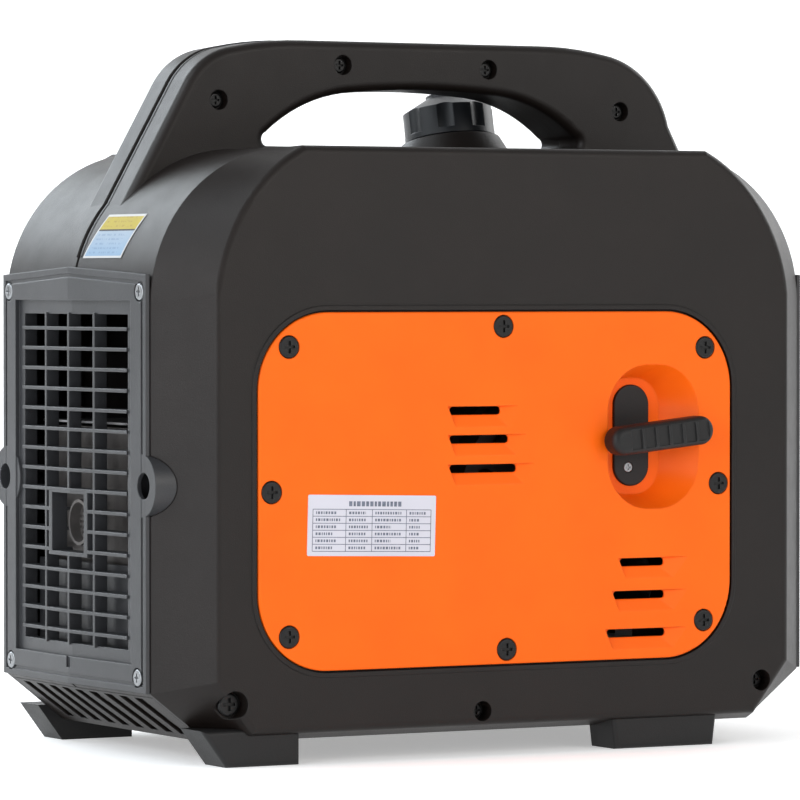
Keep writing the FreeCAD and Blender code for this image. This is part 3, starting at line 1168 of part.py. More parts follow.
def eco_rocker_frame():
    outer = box(PANEL_FACE - 16, PANEL_FACE + FIT, ROCKER_Y - 7.8, ROCKER_Y + 7.8, ROCKER_Z - 12.8, ROCKER_Z + 12.8)
    rim = box(PANEL_FACE + FIT, PANEL_FACE + 2, ROCKER_Y - 10, ROCKER_Y + 10, ROCKER_Z - 15, ROCKER_Z + 15)
    well = box(PANEL_FACE - 13, LENGTH, ROCKER_Y - 6, ROCKER_Y + 6, ROCKER_Z - 11, ROCKER_Z + 11)
    pin = cyl(V(PANEL_FACE - 3, ROCKER_Y - 7, ROCKER_Z), Y_AXIS, 1.5, 14)
    return fuse(cut(fuse(outer, rim), well), pin)


def eco_rocker():
    """Rocker with two slanted faces, on its pin."""
    y0, y1 = ROCKER_Y - 5.7, ROCKER_Y + 5.7
    x = PANEL_FACE
    pts = [V(x - 7, y0, ROCKER_Z - 4), V(x - 1, y0, ROCKER_Z - 10), V(x + 4.2, y0, ROCKER_Z - 10),
           V(x + 2.6, y0, ROCKER_Z), V(x + 4.2, y0, ROCKER_Z + 10), V(x - 1, y0, ROCKER_Z + 10),
           V(x - 7, y0, ROCKER_Z + 4)]
    body = polygon(pts).extrude(V(0, y1 - y0, 0))
    return body.cut(cyl(V(x - 3, ROCKER_Y - 9, ROCKER_Z), Y_AXIS, 1.5 + RUN, 20))


def engine_switch_knob():
    x = PANEL_FACE + 0.4
    dial = Part.makeCone(SWITCH_R, SWITCH_R - 2, 5, V(x, SWITCH_Y, SWITCH_Z), X_AXIS)
    bar = box(x + 4, x + 13, SWITCH_Y - 5, SWITCH_Y + 5, SWITCH_Z - SWITCH_R + 3, SWITCH_Z + SWITCH_R - 3)
    bar = bar.makeFillet(3.5, edges_at(bar, "x", x + 13))
    stem = cyl(V(PANEL_FACE - 18, SWITCH_Y, SWITCH_Z), X_AXIS, 6.0, 20)
    return fuse(dial, bar, stem)


def rotary_switch():
    block = box(PANEL_FACE - 30, PANEL_FACE - 3 - FIT, SWITCH_Y - 20, SWITCH_Y + 20, SWITCH_Z - 20, SWITCH_Z + 20)
    return block.cut(cyl(V(PANEL_FACE - 18.5, SWITCH_Y, SWITCH_Z), X_AXIS, 6.0 + RUN, 40))


def earth_terminal():
    stud = cyl(V(PANEL_FACE - 8, EARTH_Y, EARTH_Z), X_AXIS, 3.0, 19)
    nut = cyl(V(PANEL_FACE - 3 - FIT - 3, EARTH_Y, EARTH_Z), X_AXIS, 6.0, 3)
    washer = cyl(V(PANEL_FACE + FIT, EARTH_Y, EARTH_Z), X_AXIS, 7.0, 1.2)
    wing = box(PANEL_FACE + 1, PANEL_FACE + 8, EARTH_Y - 11, EARTH_Y + 11, EARTH_Z - 1.8, EARTH_Z + 1.8)
    boss = cyl(V(PANEL_FACE + 1, EARTH_Y, EARTH_Z), X_AXIS, 5.0, 6)
    return fuse(stud, nut, washer, wing.makeFillet(1.2, edges_at(wing, "x", PANEL_FACE + 8)), boss)


def parallel_sockets():
    sockets = []
    for side in (-1, 1):
        y = PARALLEL_Y + 11 * side
        body = cyl(V(PANEL_FACE - 14, y, PARALLEL_Z), X_AXIS, 6.0, 15)
        flange = cyl(V(PANEL_FACE + FIT, y, PARALLEL_Z), X_AXIS, 8.5, 3)
        well = cyl(V(PANEL_FACE - 10, y, PARALLEL_Z), X_AXIS, 4.0, 30)
        sockets.append(cut(fuse(body, flange), well))
    return Part.makeCompound(sockets)


# ---- trim ------------------------------------------------------------------
PLATE_X0, PLATE_X1, PLATE_Z0, PLATE_Z1 = -150.0, -57.0, 132.0, 171.0
STICKER_T = 0.4
STICKER_Y, STICKER_Z, STICKER_W, STICKER_H = -6.5, 322.6, 53.0, 28.2


def nameplate():
    face = -WIDTH / 2
    plate = rounded_plate(PLATE_X0, PLATE_X1, PLATE_Z0, PLATE_Z1, 1.0, face - 0.5, face)
    middle = V((PLATE_X0 + PLATE_X1) / 2, 0, (PLATE_Z0 + PLATE_Z1) / 2)
    plate.rotate(middle, Y_AXIS, 1.5)
    return plate


def shoulder_sticker():
    skin = case_block(-STICKER_T).cut(case_block(0))
    low, high, lean = STICKER_Z, STICKER_Z + STICKER_H, 10.5
    shape = [V(-LENGTH, STICKER_Y, low), V(-LENGTH, STICKER_Y - STICKER_W, low),
             V(-LENGTH, STICKER_Y - STICKER_W - lean, high), V(-LENGTH, STICKER_Y - lean, high)]
    return skin.common(polygon(shape).extrude(V(LENGTH, 0, 0)))


def case_screws():
    screws = [pan_screw(V(x, -HANDLE_HALF + 8, z), V(0, -1, 0), HANDLE_SCREW_R - 1.3, 3, 20)
              for x, z in HANDLE_SCREWS]
    for x, z, radius in SHELL_SCREWS:
        screw = pan_screw(V(x, -FACE_Y + SCREW_POCKET, z), V(0, -1, 0), radius - 1.4, 3.5, 10)
        screws += [screw, mirrored_y(screw)]
    return Part.makeCompound(screws)


def main():
    front, rear = shell_halves()
    save("front_shell", front)
    save("rear_shell", rear)
    builders = [
        bottom_pan, rubber_feet, front_side_cover, rear_side_cover, fuel_cock_knob,
        exhaust_end_cover, control_panel, end_screws, case_screws, cover_screws, rope_guide,
        rope_guide_screw, nameplate, shoulder_sticker, starter_grip, starter_rope_end,
        starter_rope_lead, starter_rope_winding, recoil_pulley, recoil_spring, recoil_housing,
        starter_cup, cooling_fan, flywheel_rotor, stator, crankshaft, crankcase, cylinder,
        cylinder_head, rocker_cover, spark_plug, ignition_coil, fan_shroud, engine_mounts,
        oil_dipstick, carburettor, air_cleaner_case, muffler, exhaust_pipe, exhaust_outlet,
        heat_shield, fuel_tank, filler_neck, fuel_cap, fuel_cap_insert, fuel_hose,
        inverter_unit, ac_sockets, low_voltage_sockets, panel_switchgear, indicator_lamps,
        eco_rocker_frame, eco_rocker, engine_switch_knob, earth_terminal, parallel_sockets]
    for builder in builders:
        save(builder.__name__, builder())
    for name, y, z in BUTTONS:
        save(name, breaker_button(y, z))


main()
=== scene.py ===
import json
import math

import bmesh
import bpy
from mathutils import Matrix, Vector
from mathutils.bvhtree import BVHTree


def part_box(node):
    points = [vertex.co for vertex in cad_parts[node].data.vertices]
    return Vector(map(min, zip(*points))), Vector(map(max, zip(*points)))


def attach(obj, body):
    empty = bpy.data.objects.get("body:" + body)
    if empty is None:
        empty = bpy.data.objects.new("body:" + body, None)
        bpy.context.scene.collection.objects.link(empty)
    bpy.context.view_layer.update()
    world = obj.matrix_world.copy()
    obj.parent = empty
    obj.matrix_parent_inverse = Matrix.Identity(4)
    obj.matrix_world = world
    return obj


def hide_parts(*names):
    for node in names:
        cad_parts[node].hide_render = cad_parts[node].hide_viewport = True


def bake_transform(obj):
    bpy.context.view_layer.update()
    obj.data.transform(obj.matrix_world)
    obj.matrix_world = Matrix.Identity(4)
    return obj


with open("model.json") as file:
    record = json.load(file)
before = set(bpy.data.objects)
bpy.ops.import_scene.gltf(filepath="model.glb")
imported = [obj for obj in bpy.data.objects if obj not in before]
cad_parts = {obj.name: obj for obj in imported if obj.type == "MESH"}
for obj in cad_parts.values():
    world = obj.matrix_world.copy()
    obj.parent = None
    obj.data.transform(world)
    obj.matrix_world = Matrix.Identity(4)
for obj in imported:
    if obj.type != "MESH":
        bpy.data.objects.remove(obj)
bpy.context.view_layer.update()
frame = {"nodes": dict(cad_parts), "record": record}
nodes = frame["nodes"]
scene = bpy.context.scene
scene.view_settings.view_transform = "Standard"

# Lengths are metres in the frame's own axes; lens and sensor are millimetres.
CAMERA_PLACE = (-1.7419, -3.1361, 0.3056)
CAMERA_TILT, CAMERA_TURN = math.radians(88.761), math.radians(-29)
LENS, SENSOR_WIDTH = 240.41, 36

# name, place, aimed at, width and height, watts, colour
LIGHTS = (
    ("key", (-2.6, 0.4, 2.3), (-0.1, 0, 0.3), (1.8, 1.8), 55, (0.88, 0.95, 1.0)),
    ("rim", (-0.9, 3.0, 1.7), (-0.1, 0, 0.35), (2.6, 1.2), 52, (0.86, 0.94, 1.0)),
    ("left", (-3.3, -1.9, 1.0), (-0.1, 0, 0.2), (1.6, 1.6), 48, (0.96, 0.97, 1.0)),
    ("front", (1.2, -3.4, 1.5), (0, 0, 0.2), (2.2, 1.6), 38, (1.0, 0.965, 0.92)),
    ("side", (2.9, 0.6, 1.5), (0, 0, 0.2), (1.8, 1.4), 26, (1, 1, 1)),
)
WORLD_COLOUR, WORLD_STRENGTH = (0.97, 0.985, 1.0, 1), 0.42

# Edge wear: the cosine between the face and its softened normal where it starts and is full.
WEAR_START, WEAR_FULL, WEAR_PATCH = 0.995, 0.86, 0.012
ROUGH_SPREAD, MOTTLE_SHARE, GRAIN_HEIGHT, COAT_ROUGH = 0.03, 0.35, 0.4, 0.2

GUIDE = Vector((0.102, 0, 0.206))          # the starter rope's axis runs along Y through here
STRANDS, BRAID_PITCH = 4, 2600.0           # strands round the rope, radians per metre along it
ROPE_RINGS, ROPE_SIDES, ROPE_TWIST = 60, 20, 1.1

STICKER_LEAN = 0.0105                      # how far the sticker's top is set back from its foot
STICKER_BORDER, STICKER_RULE = 0.0014, 0.0005
BAND_FROM, RULE_AT = 0.65, 0.64            # shares of the sticker's height
TEXT_LEFT, TEXT_RIGHT, TEXT_ROWS, TEXT_SIZE, TEXT_INK = 0.005, 0.009, 2200.0, 0.0022, 0.45

PLATE_WIDTH, PLATE_HEIGHT, PLATE_LEAN = 0.093, 0.039, math.radians(1.5)
PLATE_SIDE, PLATE_END, PLATE_HEAD = 0.0035, 0.003, 0.0062
PLATE_ROWS, COLUMN_WIDTH, LATE_COLUMN = 6, 0.024, 0.025
INK_DEPTH, INK_LIFT, RULE_HALF, BAR_HALF = 0.0002, 0.00006, 0.00022, 0.00085
HEADING_FROM, HEADING_TO, HEADING_LOW, HEADING_HIGH = -0.017, 0.020, 0.0042, 0.0010

SEAM_CENTRE = Vector((0, 0, 0.20))
SEAM_FROM, SEAM_TO, SEAM_STEPS = math.radians(33), math.radians(153), 400
SEAM_RAY = 0.6                             # rays start this far out from the centre
# Each row: its place across the seam (+Y is the rear half) and its height over the shell.
BEAD_ROWS = ((0.0018, 0.0), (0.0021, 0.0006), (0.0026, 0.0008), (0.0031, 0.0006), (0.0034, 0.0))
# The black strip in the channel is painted shade: a dark sheet laid where the groove's shadow
# falls.
SHADE_STRIP_ROWS = ((-0.0046, 0.0001), (-0.0040, 0.0003), (-0.0022, 0.0003), (-0.0016, 0.0001))
BEAD_DEPTH, SHADE_STRIP_DEPTH = 0.0005, 0.0004


# ---- meshes ----------------------------------------------------------------
def new_object(name, bm, smooth=True):
    """An object in the scene from a finished bmesh, which is freed."""
    mesh = bpy.data.meshes.new(name)
    bm.to_mesh(mesh)
    bm.free()
    piece = bpy.data.objects.new(name, mesh)
    scene.collection.objects.link(piece)
    for face in mesh.polygons:
        face.use_smooth = smooth
    return piece


def close_tube(bm, rings):
    """Faces from each ring of vertices to the next, with a cap at both ends."""
    for one, two in zip(rings, rings[1:]):
        for k in range(len(one)):
            after = (k + 1) % len(one)
            bm.faces.new((one[k], one[after], two[after], two[k]))
    bm.faces.new(rings[0][::-1])
    bm.faces.new(rings[-1])
    bmesh.ops.recalc_face_normals(bm, faces=bm.faces)


# ---- camera, floor and light -----------------------------------------------
def add_camera():
    data = bpy.data.cameras.new("camera")
    data.lens, data.sensor_width = LENS, SENSOR_WIDTH
    data.clip_start, data.clip_end = 0.05, 60
    camera = bpy.data.objects.new("camera", data)
    camera.location = CAMERA_PLACE
    camera.rotation_euler = (CAMERA_TILT, 0, CAMERA_TURN)
    scene.collection.objects.link(camera)
    scene.camera = camera


def add_light(name, place, aim, size, watts, colour):
    data = bpy.data.lights.new(name, "AREA")
    data.shape, data.size, data.size_y = "RECTANGLE", size[0], size[1]
    data.energy, data.color = watts, colour
    light = bpy.data.objects.new(name, data)
    light.location = place
    towards = Vector(aim) - Vector(place)
    light.rotation_euler = towards.to_track_quat("-Z", "Y").to_euler()
    scene.collection.objects.link(light)


def add_floor():
    """A pale floor that bends up into a wall behind the object, square to the view."""
    half, front, back, rise = 9.0, -7.0, 4.0, 5.0
    bend, steps = 2.0, 24
    line = [(front, 0.0), (back - bend, 0.0)]
    line += [(back - bend + bend * math.sin(a), bend - bend * math.cos(a))
             for a in (math.pi / 2 * k / steps for k in range(1, steps + 1))]
    line += [(back, bend + rise)]
    turn = Matrix.Rotation(CAMERA_TURN, 3, "Z")
    bm = bmesh.new()
    rows = [[bm.verts.new(turn @ Vector((x, y, z))) for x in (-half, half)] for y, z in line]
    for low, high in zip(rows, rows[1:]):
        bm.faces.new((low[0], low[1], high[1], high[0]))
    floor = new_object("floor", bm)
    floor.data.materials.append(surface("studio_floor", (0.93, 0.93, 0.93), 0.9, vary=0.01,
                                        grain=0.05, grain_size=0.02, shine=0.1, glow=0.40))


def add_world():
    world = bpy.data.worlds.new("studio")
    world.use_nodes = True
    background = world.node_tree.nodes["Background"]
    background.inputs["Color"].default_value = WORLD_COLOUR
    background.inputs["Strength"].default_value = WORLD_STRENGTH
    scene.world = world


# ---- materials -------------------------------------------------------------
class Graph:
    """A material's node tree, with short calls to add and join its nodes."""

    def __init__(self, name):
        self.material = bpy.data.materials.new(name)
        self.material.use_nodes = True
        self.tree = self.material.node_tree
        self.shader = self.tree.nodes["Principled BSDF"]
        self.place = self.node("ShaderNodeTexCoord").outputs["Object"]

    def node(self, kind, **settings):
        made = self.tree.nodes.new(kind)
        for key, value in settings.items():
            setattr(made, key, value)
        return made

    def join(self, source, target):
        """Link an output to the input, or set the input to a plain value."""
        if hasattr(source, "links"):
            self.tree.links.new(source, target)
        else:
            target.default_value = source

    def noise(self, size, detail=2.0, rough=0.5, stretch=None):
        made = self.node("ShaderNodeTexNoise")
        made.inputs["Scale"].default_value = 1.0 / size
        made.inputs["Detail"].default_value = detail
        made.inputs["Roughness"].default_value = rough
        place = self.place
        if stretch:
            mapping = self.node("ShaderNodeMapping")
            mapping.inputs["Scale"].default_value = stretch
            self.join(place, mapping.inputs["Vector"])
            place = mapping.outputs["Vector"]
        self.join(place, made.inputs["Vector"])
        return made.outputs["Fac"]

    def remap(self, value, low, high, to_low=0.0, to_high=1.0):
        made = self.node("ShaderNodeMapRange")
        for name, number in (("From Min", low), ("From Max", high),
                             ("To Min", to_low), ("To Max", to_high)):
            made.inputs[name].default_value = number
        self.join(value, made.inputs["Value"])
        return made.outputs["Result"]

    def math(self, kind, first, second=0.0):
        made = self.node("ShaderNodeMath", operation=kind)
        self.join(first, made.inputs[0])
        self.join(second, made.inputs[1])
        return made.outputs[0]

    def mix(self, factor, first, second):
        made = self.node("ShaderNodeMix", data_type="RGBA")
        self.join(factor, made.inputs["Factor"])
        self.join(first, made.inputs["A"])
        self.join(second, made.inputs["B"])
        return made.outputs["Result"]

    def bump(self, height, strength, distance, under=None):
        made = self.node("ShaderNodeBump")
        made.inputs["Strength"].default_value = strength
        made.inputs["Distance"].default_value = distance
        self.join(height, made.inputs["Height"])
        if under is not None:
            self.join(under, made.inputs["Normal"])
        return made.outputs["Normal"]


def rgba(colour, gain=1.0):
    return tuple(min(1.0, c * gain) for c in colour) + (1.0,)


def surface(name, colour, rough, metal=0.0, vary=0.12, blotch=0.05, grain=0.15,
            grain_size=0.0011, soften=0.0, wear=0.0, worn=None, brushed=None, coat=0.0,
            shine=0.5, glow=0.0):
    """A moulded, painted or metal surface: its colour drifts over the piece, its grain is a fine
    bump, its edges are softened, and the sharpest of them are rubbed lighter."""
    g = Graph(name)
    drift = g.remap(g.noise(blotch, 3.0), 0.3, 0.7)
    tint = g.mix(drift, rgba(colour, 1 - vary), rgba(colour, 1 + vary))
    under = None
    if soften:
        bevel = g.node("ShaderNodeBevel", samples=4)
        bevel.inputs["Radius"].default_value = soften
        under = bevel.outputs["Normal"]
    if wear:
        facing = g.node("ShaderNodeVectorMath", operation="DOT_PRODUCT")
        g.join(under, facing.inputs[0])
        g.join(g.node("ShaderNodeNewGeometry").outputs["Normal"], facing.inputs[1])
        edge = g.remap(facing.outputs["Value"], WEAR_START, WEAR_FULL)
        patchy = g.remap(g.noise(WEAR_PATCH, 4.0, 0.6), 0.35, 0.75)
        rub = g.math("MULTIPLY", g.math("MULTIPLY", edge, patchy), wear)
        tint = g.mix(rub, tint, rgba(worn))
    g.join(tint, g.shader.inputs["Base Color"])
    mottled = g.remap(g.noise(blotch * MOTTLE_SHARE, 4.0, 0.6), 0.25, 0.75,
                      rough - ROUGH_SPREAD, rough + ROUGH_SPREAD)
    g.join(mottled, g.shader.inputs["Roughness"])
    height = g.noise(grain_size, 3.0, 0.6, brushed)
    g.join(g.bump(height, grain, grain_size * GRAIN_HEIGHT, under), g.shader.inputs["Normal"])
    g.shader.inputs["Metallic"].default_value = metal
    g.shader.inputs["Specular IOR Level"].default_value = shine
    g.shader.inputs["Emission Color"].default_value = rgba(colour)
    g.shader.inputs["Emission Strength"].default_value = glow
    g.shader.inputs["Coat Weight"].default_value = coat
    g.shader.inputs["Coat Roughness"].default_value = COAT_ROUGH
    return g.material


def rope_material(name, colour):
    """Braided cord: two sets of slanting strands round the Y axis."""
    g = Graph(name)
    parts = g.node("ShaderNodeSeparateXYZ")
    g.join(g.place, parts.inputs["Vector"])
    x = g.math("SUBTRACT", parts.outputs["X"], GUIDE.x)
    z = g.math("SUBTRACT", parts.outputs["Z"], GUIDE.z)
    turn = g.math("MULTIPLY", g.math("ARCTAN2", x, z), STRANDS)
    along = g.math("MULTIPLY", parts.outputs["Y"], BRAID_PITCH)
    one = g.math("SINE", g.math("ADD", turn, along))
    two = g.math("SINE", g.math("SUBTRACT", turn, along))
    weave = g.math("MAXIMUM", one, two)
    fibre = g.noise(0.0004)
    height = g.math("ADD", weave, g.math("MULTIPLY", fibre, 0.5))
    tint = g.mix(g.remap(height, -0.5, 1.4), rgba(colour, 0.45), rgba(colour, 1.5))
    g.join(tint, g.shader.inputs["Base Color"])
    g.join(g.remap(fibre, 0.3, 0.7, 0.7, 0.9), g.shader.inputs["Roughness"])
    g.join(g.bump(height, 0.8, 0.0004), g.shader.inputs["Normal"])
    return g.material


def sticker_material(name):
    """A white-edged sticker with a yellow band over a pale blue field, printed in generic marks."""
    low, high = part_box("shoulder_sticker")
    tall = high.z - low.z
    width = (high.y - low.y) - STICKER_LEAN
    g = Graph(name)
    parts = g.node("ShaderNodeSeparateXYZ")
    g.join(g.place, parts.inputs["Vector"])
    up = g.math("SUBTRACT", parts.outputs["Z"], low.z)
    across = g.math("ADD", g.math("SUBTRACT", high.y, parts.outputs["Y"]),
                    g.math("MULTIPLY", up, -STICKER_LEAN / tall))
    band = tall * BAND_FROM
    yellow = g.math("GREATER_THAN", up, band)
    drift = g.noise(0.006, 3.0)
    pale = g.mix(g.remap(up, 0.0, band), (0.20, 0.31, 0.44, 1), (0.28, 0.34, 0.41, 1))
    gold = g.mix(drift, (0.34, 0.26, 0.022, 1), (0.42, 0.34, 0.05, 1))
    field = g.mix(yellow, pale, gold)
    rows = g.math("GREATER_THAN", g.math("SINE", g.math("MULTIPLY", up, TEXT_ROWS)), 0.35)
    marks = g.math("GREATER_THAN", g.noise(TEXT_SIZE, 1.0, 0.5, (1.0, 1.0, 0.2)), 0.5)
    inside = g.math("MULTIPLY", g.math("GREATER_THAN", across, TEXT_LEFT),
                    g.math("LESS_THAN", across, width - TEXT_RIGHT))
    printed = g.math("MULTIPLY", g.math("MULTIPLY", rows, marks), inside)
    ink = g.mix(yellow, (0.12, 0.18, 0.28, 1), (0.20, 0.11, 0.02, 1))
    field = g.mix(g.math("MULTIPLY", printed, TEXT_INK), field, ink)
    from_rule = g.math("ABSOLUTE", g.math("SUBTRACT", up, tall * RULE_AT))
    field = g.mix(g.math("LESS_THAN", from_rule, STICKER_RULE), field, (0.02, 0.02, 0.02, 1))
    edge = g.math("MINIMUM", g.math("MINIMUM", up, g.math("SUBTRACT", tall, up)),
                  g.math("MINIMUM", across, g.math("SUBTRACT", width, across)))
    border = g.math("LESS_THAN", edge, STICKER_BORDER)
    g.join(g.mix(border, field, (0.48, 0.48, 0.48, 1)), g.shader.inputs["Base Color"])
    g.shader.inputs["Specular IOR Level"].default_value = 0.15
    g.join(g.remap(drift, 0.3, 0.7, 0.5, 0.6), g.shader.inputs["Roughness"])
    g.join(g.bump(drift, 0.1, 0.0002), g.shader.inputs["Normal"])
    return g.material


def slot_materials():
    """One material for each material slot that the record names."""
    black, orange = (0.0078, 0.0052, 0.0042), (0.96, 0.135, 0.0040)
    grey = (0.09, 0.092, 0.095)
    return {
        "case_plastic": surface("case_plastic", black, 0.45, soften=0.0012, grain=0.35, wear=0.3,
                                worn=(0.035, 0.036, 0.038), grain_size=0.0009, shine=0.30),
        "cover_orange": surface("cover_orange", orange, 0.40, vary=0.05, soften=0.0018,
                                grain=0.10, wear=0.25, worn=(1.0, 0.24, 0.04), shine=0.16),
        "rear_cover_plastic": surface("rear_cover_plastic", (0.02, 0.018, 0.017), 0.42,
                                      soften=0.0007, grain=0.2, wear=0.2, worn=grey),
        "grille_plastic": surface("grille_plastic", (0.033, 0.034, 0.037), 0.40, soften=0.0010,
                                  grain=0.3, wear=0.45, worn=(0.085, 0.09, 0.095), shine=0.45),
        "panel_plastic": surface("panel_plastic", (0.022, 0.022, 0.024), 0.42, soften=0.0008,
                                 grain=0.25, wear=0.25, worn=grey),
        "black_rubber": surface("black_rubber", (0.0075, 0.0072, 0.0074), 0.48, soften=0.0007,
                                grain=0.3, wear=0.7, worn=(0.075, 0.075, 0.078), shine=0.35),
        "cap_plastic": surface("cap_plastic", (0.011, 0.013, 0.016), 0.36, soften=0.0009,
                               grain=0.25, wear=0.3, worn=(0.08, 0.085, 0.09)),
        "black_screw": surface("black_screw", (0.006, 0.0058, 0.006), 0.40, metal=0.1, shine=0.35,
                               soften=0.0004, grain=0.2, wear=0.5, worn=(0.09, 0.09, 0.09)),
        # Steel's own colour, painted darker than the other steel as the shade of the deep pockets
        # these screws sit in.
        "bright_screw": surface("bright_screw", (0.30, 0.31, 0.32), 0.30, metal=1.0,
                                soften=0.0004, vary=0.08, wear=0.3, worn=(0.6, 0.6, 0.6),
                                brushed=(1, 1, 6)),
        "label_white": surface("label_white", (0.60, 0.60, 0.67), 0.38, vary=0.03, grain=0.08),
        "label_yellow": sticker_material("label_yellow"),
        "rope_fibre": rope_material("rope_fibre", (0.10, 0.10, 0.10)),
        "cast_aluminium": surface("cast_aluminium", (0.52, 0.52, 0.53), 0.5, metal=1.0,
                                  grain=0.5, grain_size=0.0015, soften=0.0006),
        "steel": surface("steel", (0.46, 0.46, 0.47), 0.32, metal=1.0, brushed=(8, 1, 8),
                         soften=0.0004),
        "spring_steel": surface("spring_steel", (0.17, 0.19, 0.26), 0.3, metal=1.0,
                                brushed=(1, 8, 1)),
        "fan_plastic": surface("fan_plastic", (0.035, 0.035, 0.037), 0.5, soften=0.0005),
        "copper_winding": surface("copper_winding", (0.55, 0.20, 0.07), 0.3, metal=1.0,
                                  brushed=(1, 1, 14), grain=0.7, coat=0.4),
        "silencer_steel": surface("silencer_steel", (0.14, 0.13, 0.125), 0.55, metal=0.7,
                                  vary=0.3, blotch=0.03, grain=0.4),
        "tank_steel": surface("tank_steel", (0.08, 0.08, 0.085), 0.4, vary=0.15, coat=0.3),
        "ceramic_boot": surface("ceramic_boot", (0.03, 0.03, 0.032), 0.5, vary=0.2),
        "socket_plastic": surface("socket_plastic", (0.016, 0.016, 0.018), 0.22, soften=0.0005,
                                  vary=0.15, grain=0.08),
        "button_plastic": surface("button_plastic", (0.70, 0.70, 0.66), 0.25, vary=0.04,
                                  soften=0.0005, grain=0.08),
        "switch_red": surface("switch_red", (0.60, 0.022, 0.012), 0.25, vary=0.06,
                              soften=0.0006, grain=0.08),
        "lamp_lens": surface("lamp_lens", (0.10, 0.50, 0.14), 0.12, vary=0.1, grain=0.05,
                             coat=0.5),
        "terminal_brass": surface("terminal_brass", (0.70, 0.48, 0.16), 0.28, metal=1.0,
                                  brushed=(1, 1, 6), soften=0.0004),
    }


def dress_frame(materials):
    for part in frame["record"]["subparts"]:
        for place in nodes[part["node"]].material_slots:
            place.material = materials[part["material_slot"]]


# ---- added pieces ----------------------------------------------------------
def strip(bm, x0, x1, z0, z1, y):
    """A flat printed bar, closed all round, with its face at y and its back in the plate."""
    near = [bm.verts.new((x, y, z)) for x, z in ((x0, z0), (x1, z0), (x1, z1), (x0, z1))]
    far = [bm.verts.new((v.co.x, y + INK_DEPTH, v.co.z)) for v in near]
    bm.faces.new(near)
    bm.faces.new(far[::-1])
    for k in range(4):
        after = (k + 1) % 4
        bm.faces.new((near[after], near[k], far[k], far[after]))


def draws():
    """A fixed run of whole numbers, which makes the printed bars uneven."""
    seed = 7
    while True:
        seed = (seed * 73 + 41) % 257
        yield seed


def nameplate_print():
    """The ruled table on the nameplate: generic bars where the real plate has its words."""
    low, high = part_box("nameplate")
    centre = (low + high) / 2
    y = low.y - INK_LIFT
    half_w = PLATE_WIDTH / 2 - PLATE_SIDE
    half_h = PLATE_HEIGHT / 2 - PLATE_END
    top = half_h - PLATE_HEAD
    step = (top + half_h) / PLATE_ROWS
    rules = (-half_w, -half_w + COLUMN_WIDTH, 0.0, LATE_COLUMN, half_w)
    bm = bmesh.new()
    draw = draws()

    def bars(x, limit, last, z_low, z_high, thin, spread, gap):
        """Bars of uneven width, begun between x and limit, none of them past last."""
        while x < limit:
            wide = thin + spread * (next(draw) % 5) / 5
            strip(bm, x, min(x + wide, last), z_low, z_high, y)
            x += wide + gap

    for row in range(PLATE_ROWS + 1):
        z = top - row * step
        strip(bm, -half_w, half_w, z - RULE_HALF, z + RULE_HALF, y)
    for x in rules:
        strip(bm, x - RULE_HALF, x + RULE_HALF, -half_h, top, y)
    for row in range(PLATE_ROWS):
        z = top - (row + 0.5) * step
        for left, right in zip(rules, rules[1:]):
            limit = left + (right - left) * (0.55 + 0.35 * (next(draw) % 7) / 7)
            bars(left + 0.0022, limit, limit, z - BAR_HALF, z + BAR_HALF, 0.0007, 0.0011, 0.00075)
    bars(HEADING_FROM, HEADING_TO, half_w, half_h - HEADING_LOW, half_h - HEADING_HIGH,
         0.0016, 0.0012, 0.0009)
    turn = Matrix.Rotation(PLATE_LEAN, 3, "Y")
    for vert in bm.verts:
        spun = turn @ Vector((vert.co.x, 0, vert.co.z))
        vert.co = Vector((spun.x + centre.x, vert.co.y, spun.z + centre.z))
    piece = new_object("nameplate_print", bm, smooth=False)
    piece.data.materials.append(surface("print_ink", (0.13, 0.15, 0.20), 0.5, vary=0.3,
                                        blotch=0.002))
    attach(piece, "casing")


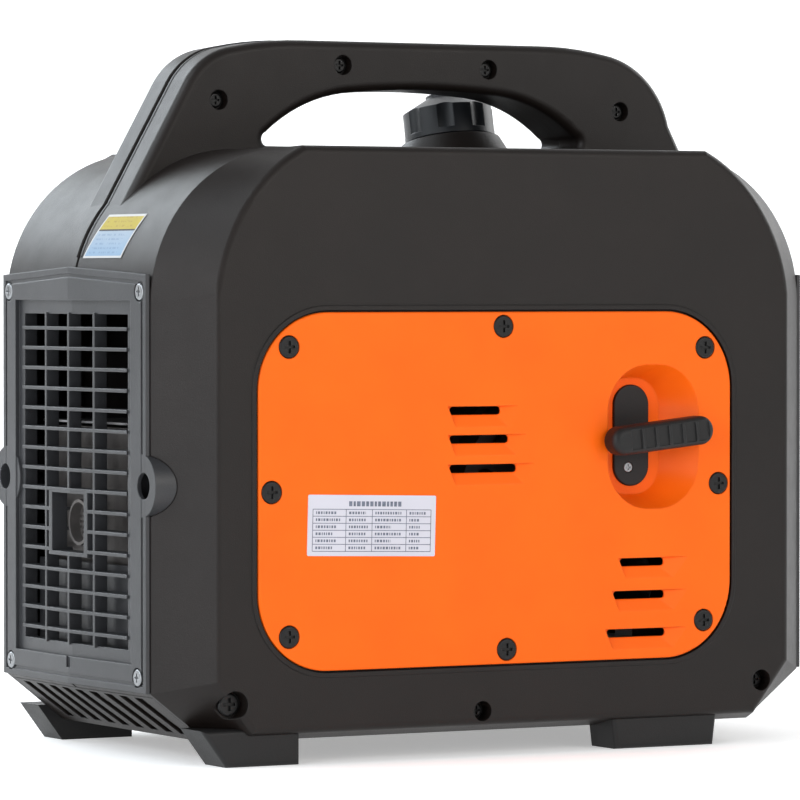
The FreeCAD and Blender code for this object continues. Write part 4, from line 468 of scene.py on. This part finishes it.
def starter_rope(materials):
    """The braided rope between the guide and the grip."""
    low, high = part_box("starter_rope_end")
    radius = (high.x - low.x) / 2
    bm = bmesh.new()
    rings = []
    for ring in range(ROPE_RINGS + 1):
        y = high.y + (low.y - high.y) * ring / ROPE_RINGS
        loop = []
        for side in range(ROPE_SIDES):
            a = 2 * math.pi * side / ROPE_SIDES
            r = radius * (0.94 + 0.06 * math.cos(STRANDS * a + ring * ROPE_TWIST))
            loop.append(bm.verts.new((GUIDE.x + r * math.sin(a), y, GUIDE.z + r * math.cos(a))))
        rings.append(loop)
    close_tube(bm, rings)
    piece = new_object("starter_rope", bm)
    piece.data.materials.append(materials["rope_fibre"])
    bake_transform(piece)
    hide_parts("starter_rope_end")


def seam_trim(materials):
    """The joint of the two case halves over the handle: a raised bead on the rear half's edge and
    a black strip beside it in the channel, painted shade for the groove's shadow, both laid on
    the shells' own surface."""
    shells = []
    for node in ("front_shell", "rear_shell"):
        mesh = nodes[node].data
        shells.append(BVHTree.FromPolygons([v.co for v in mesh.vertices],
                                           [p.vertices for p in mesh.polygons]))

    def outline(y):
        """Points on the shell's outside over the handle, in the plane at y."""
        shell = shells[1] if y > 0 else shells[0]
        found = []
        for k in range(SEAM_STEPS + 1):
            a = SEAM_FROM + (SEAM_TO - SEAM_FROM) * k / SEAM_STEPS
            way = Vector((math.cos(a), 0, math.sin(a)))
            hit = shell.ray_cast(SEAM_CENTRE + way * SEAM_RAY + Vector((0, y, 0)), -way)[0]
            if hit is not None:
                found.append(hit)
        return found

    def sweep(name, rows, depth, slot_name):
        """A closed strip along the seam: each row raised by its own height, its back sunk in."""
        lines = [outline(y) for y, _ in rows]
        count = min(len(line) for line in lines)
        bm = bmesh.new()
        rings = []
        for k in range(count):
            before, after = lines[0][max(k - 2, 0)], lines[0][min(k + 2, count - 1)]
            along = (after - before).normalized()
            normal = Vector((0, 1, 0)).cross(along).normalized()
            if normal.dot(lines[0][k] - SEAM_CENTRE) < 0:
                normal.negate()
            loop = [bm.verts.new(line[k] + normal * rise) for line, (_, rise) in zip(lines, rows)]
            loop += [bm.verts.new(line[k] - normal * depth) for line in reversed(lines)]
            rings.append(loop)
        close_tube(bm, rings)
        piece = new_object(name, bm)
        piece.data.materials.append(materials[slot_name])
        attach(piece, "casing")

    sweep("seam_bead", BEAD_ROWS, BEAD_DEPTH, "case_plastic")
    # The second strip is painted shade: a black sheet where the joint's groove lies in shadow.
    sweep("seam_painted_shade", SHADE_STRIP_ROWS, SHADE_STRIP_DEPTH, "black_rubber")


materials = slot_materials()
add_camera()
add_floor()
for light in LIGHTS:
    add_light(*light)
add_world()
dress_frame(materials)
nameplate_print()
starter_rope(materials)
seam_trim(materials)
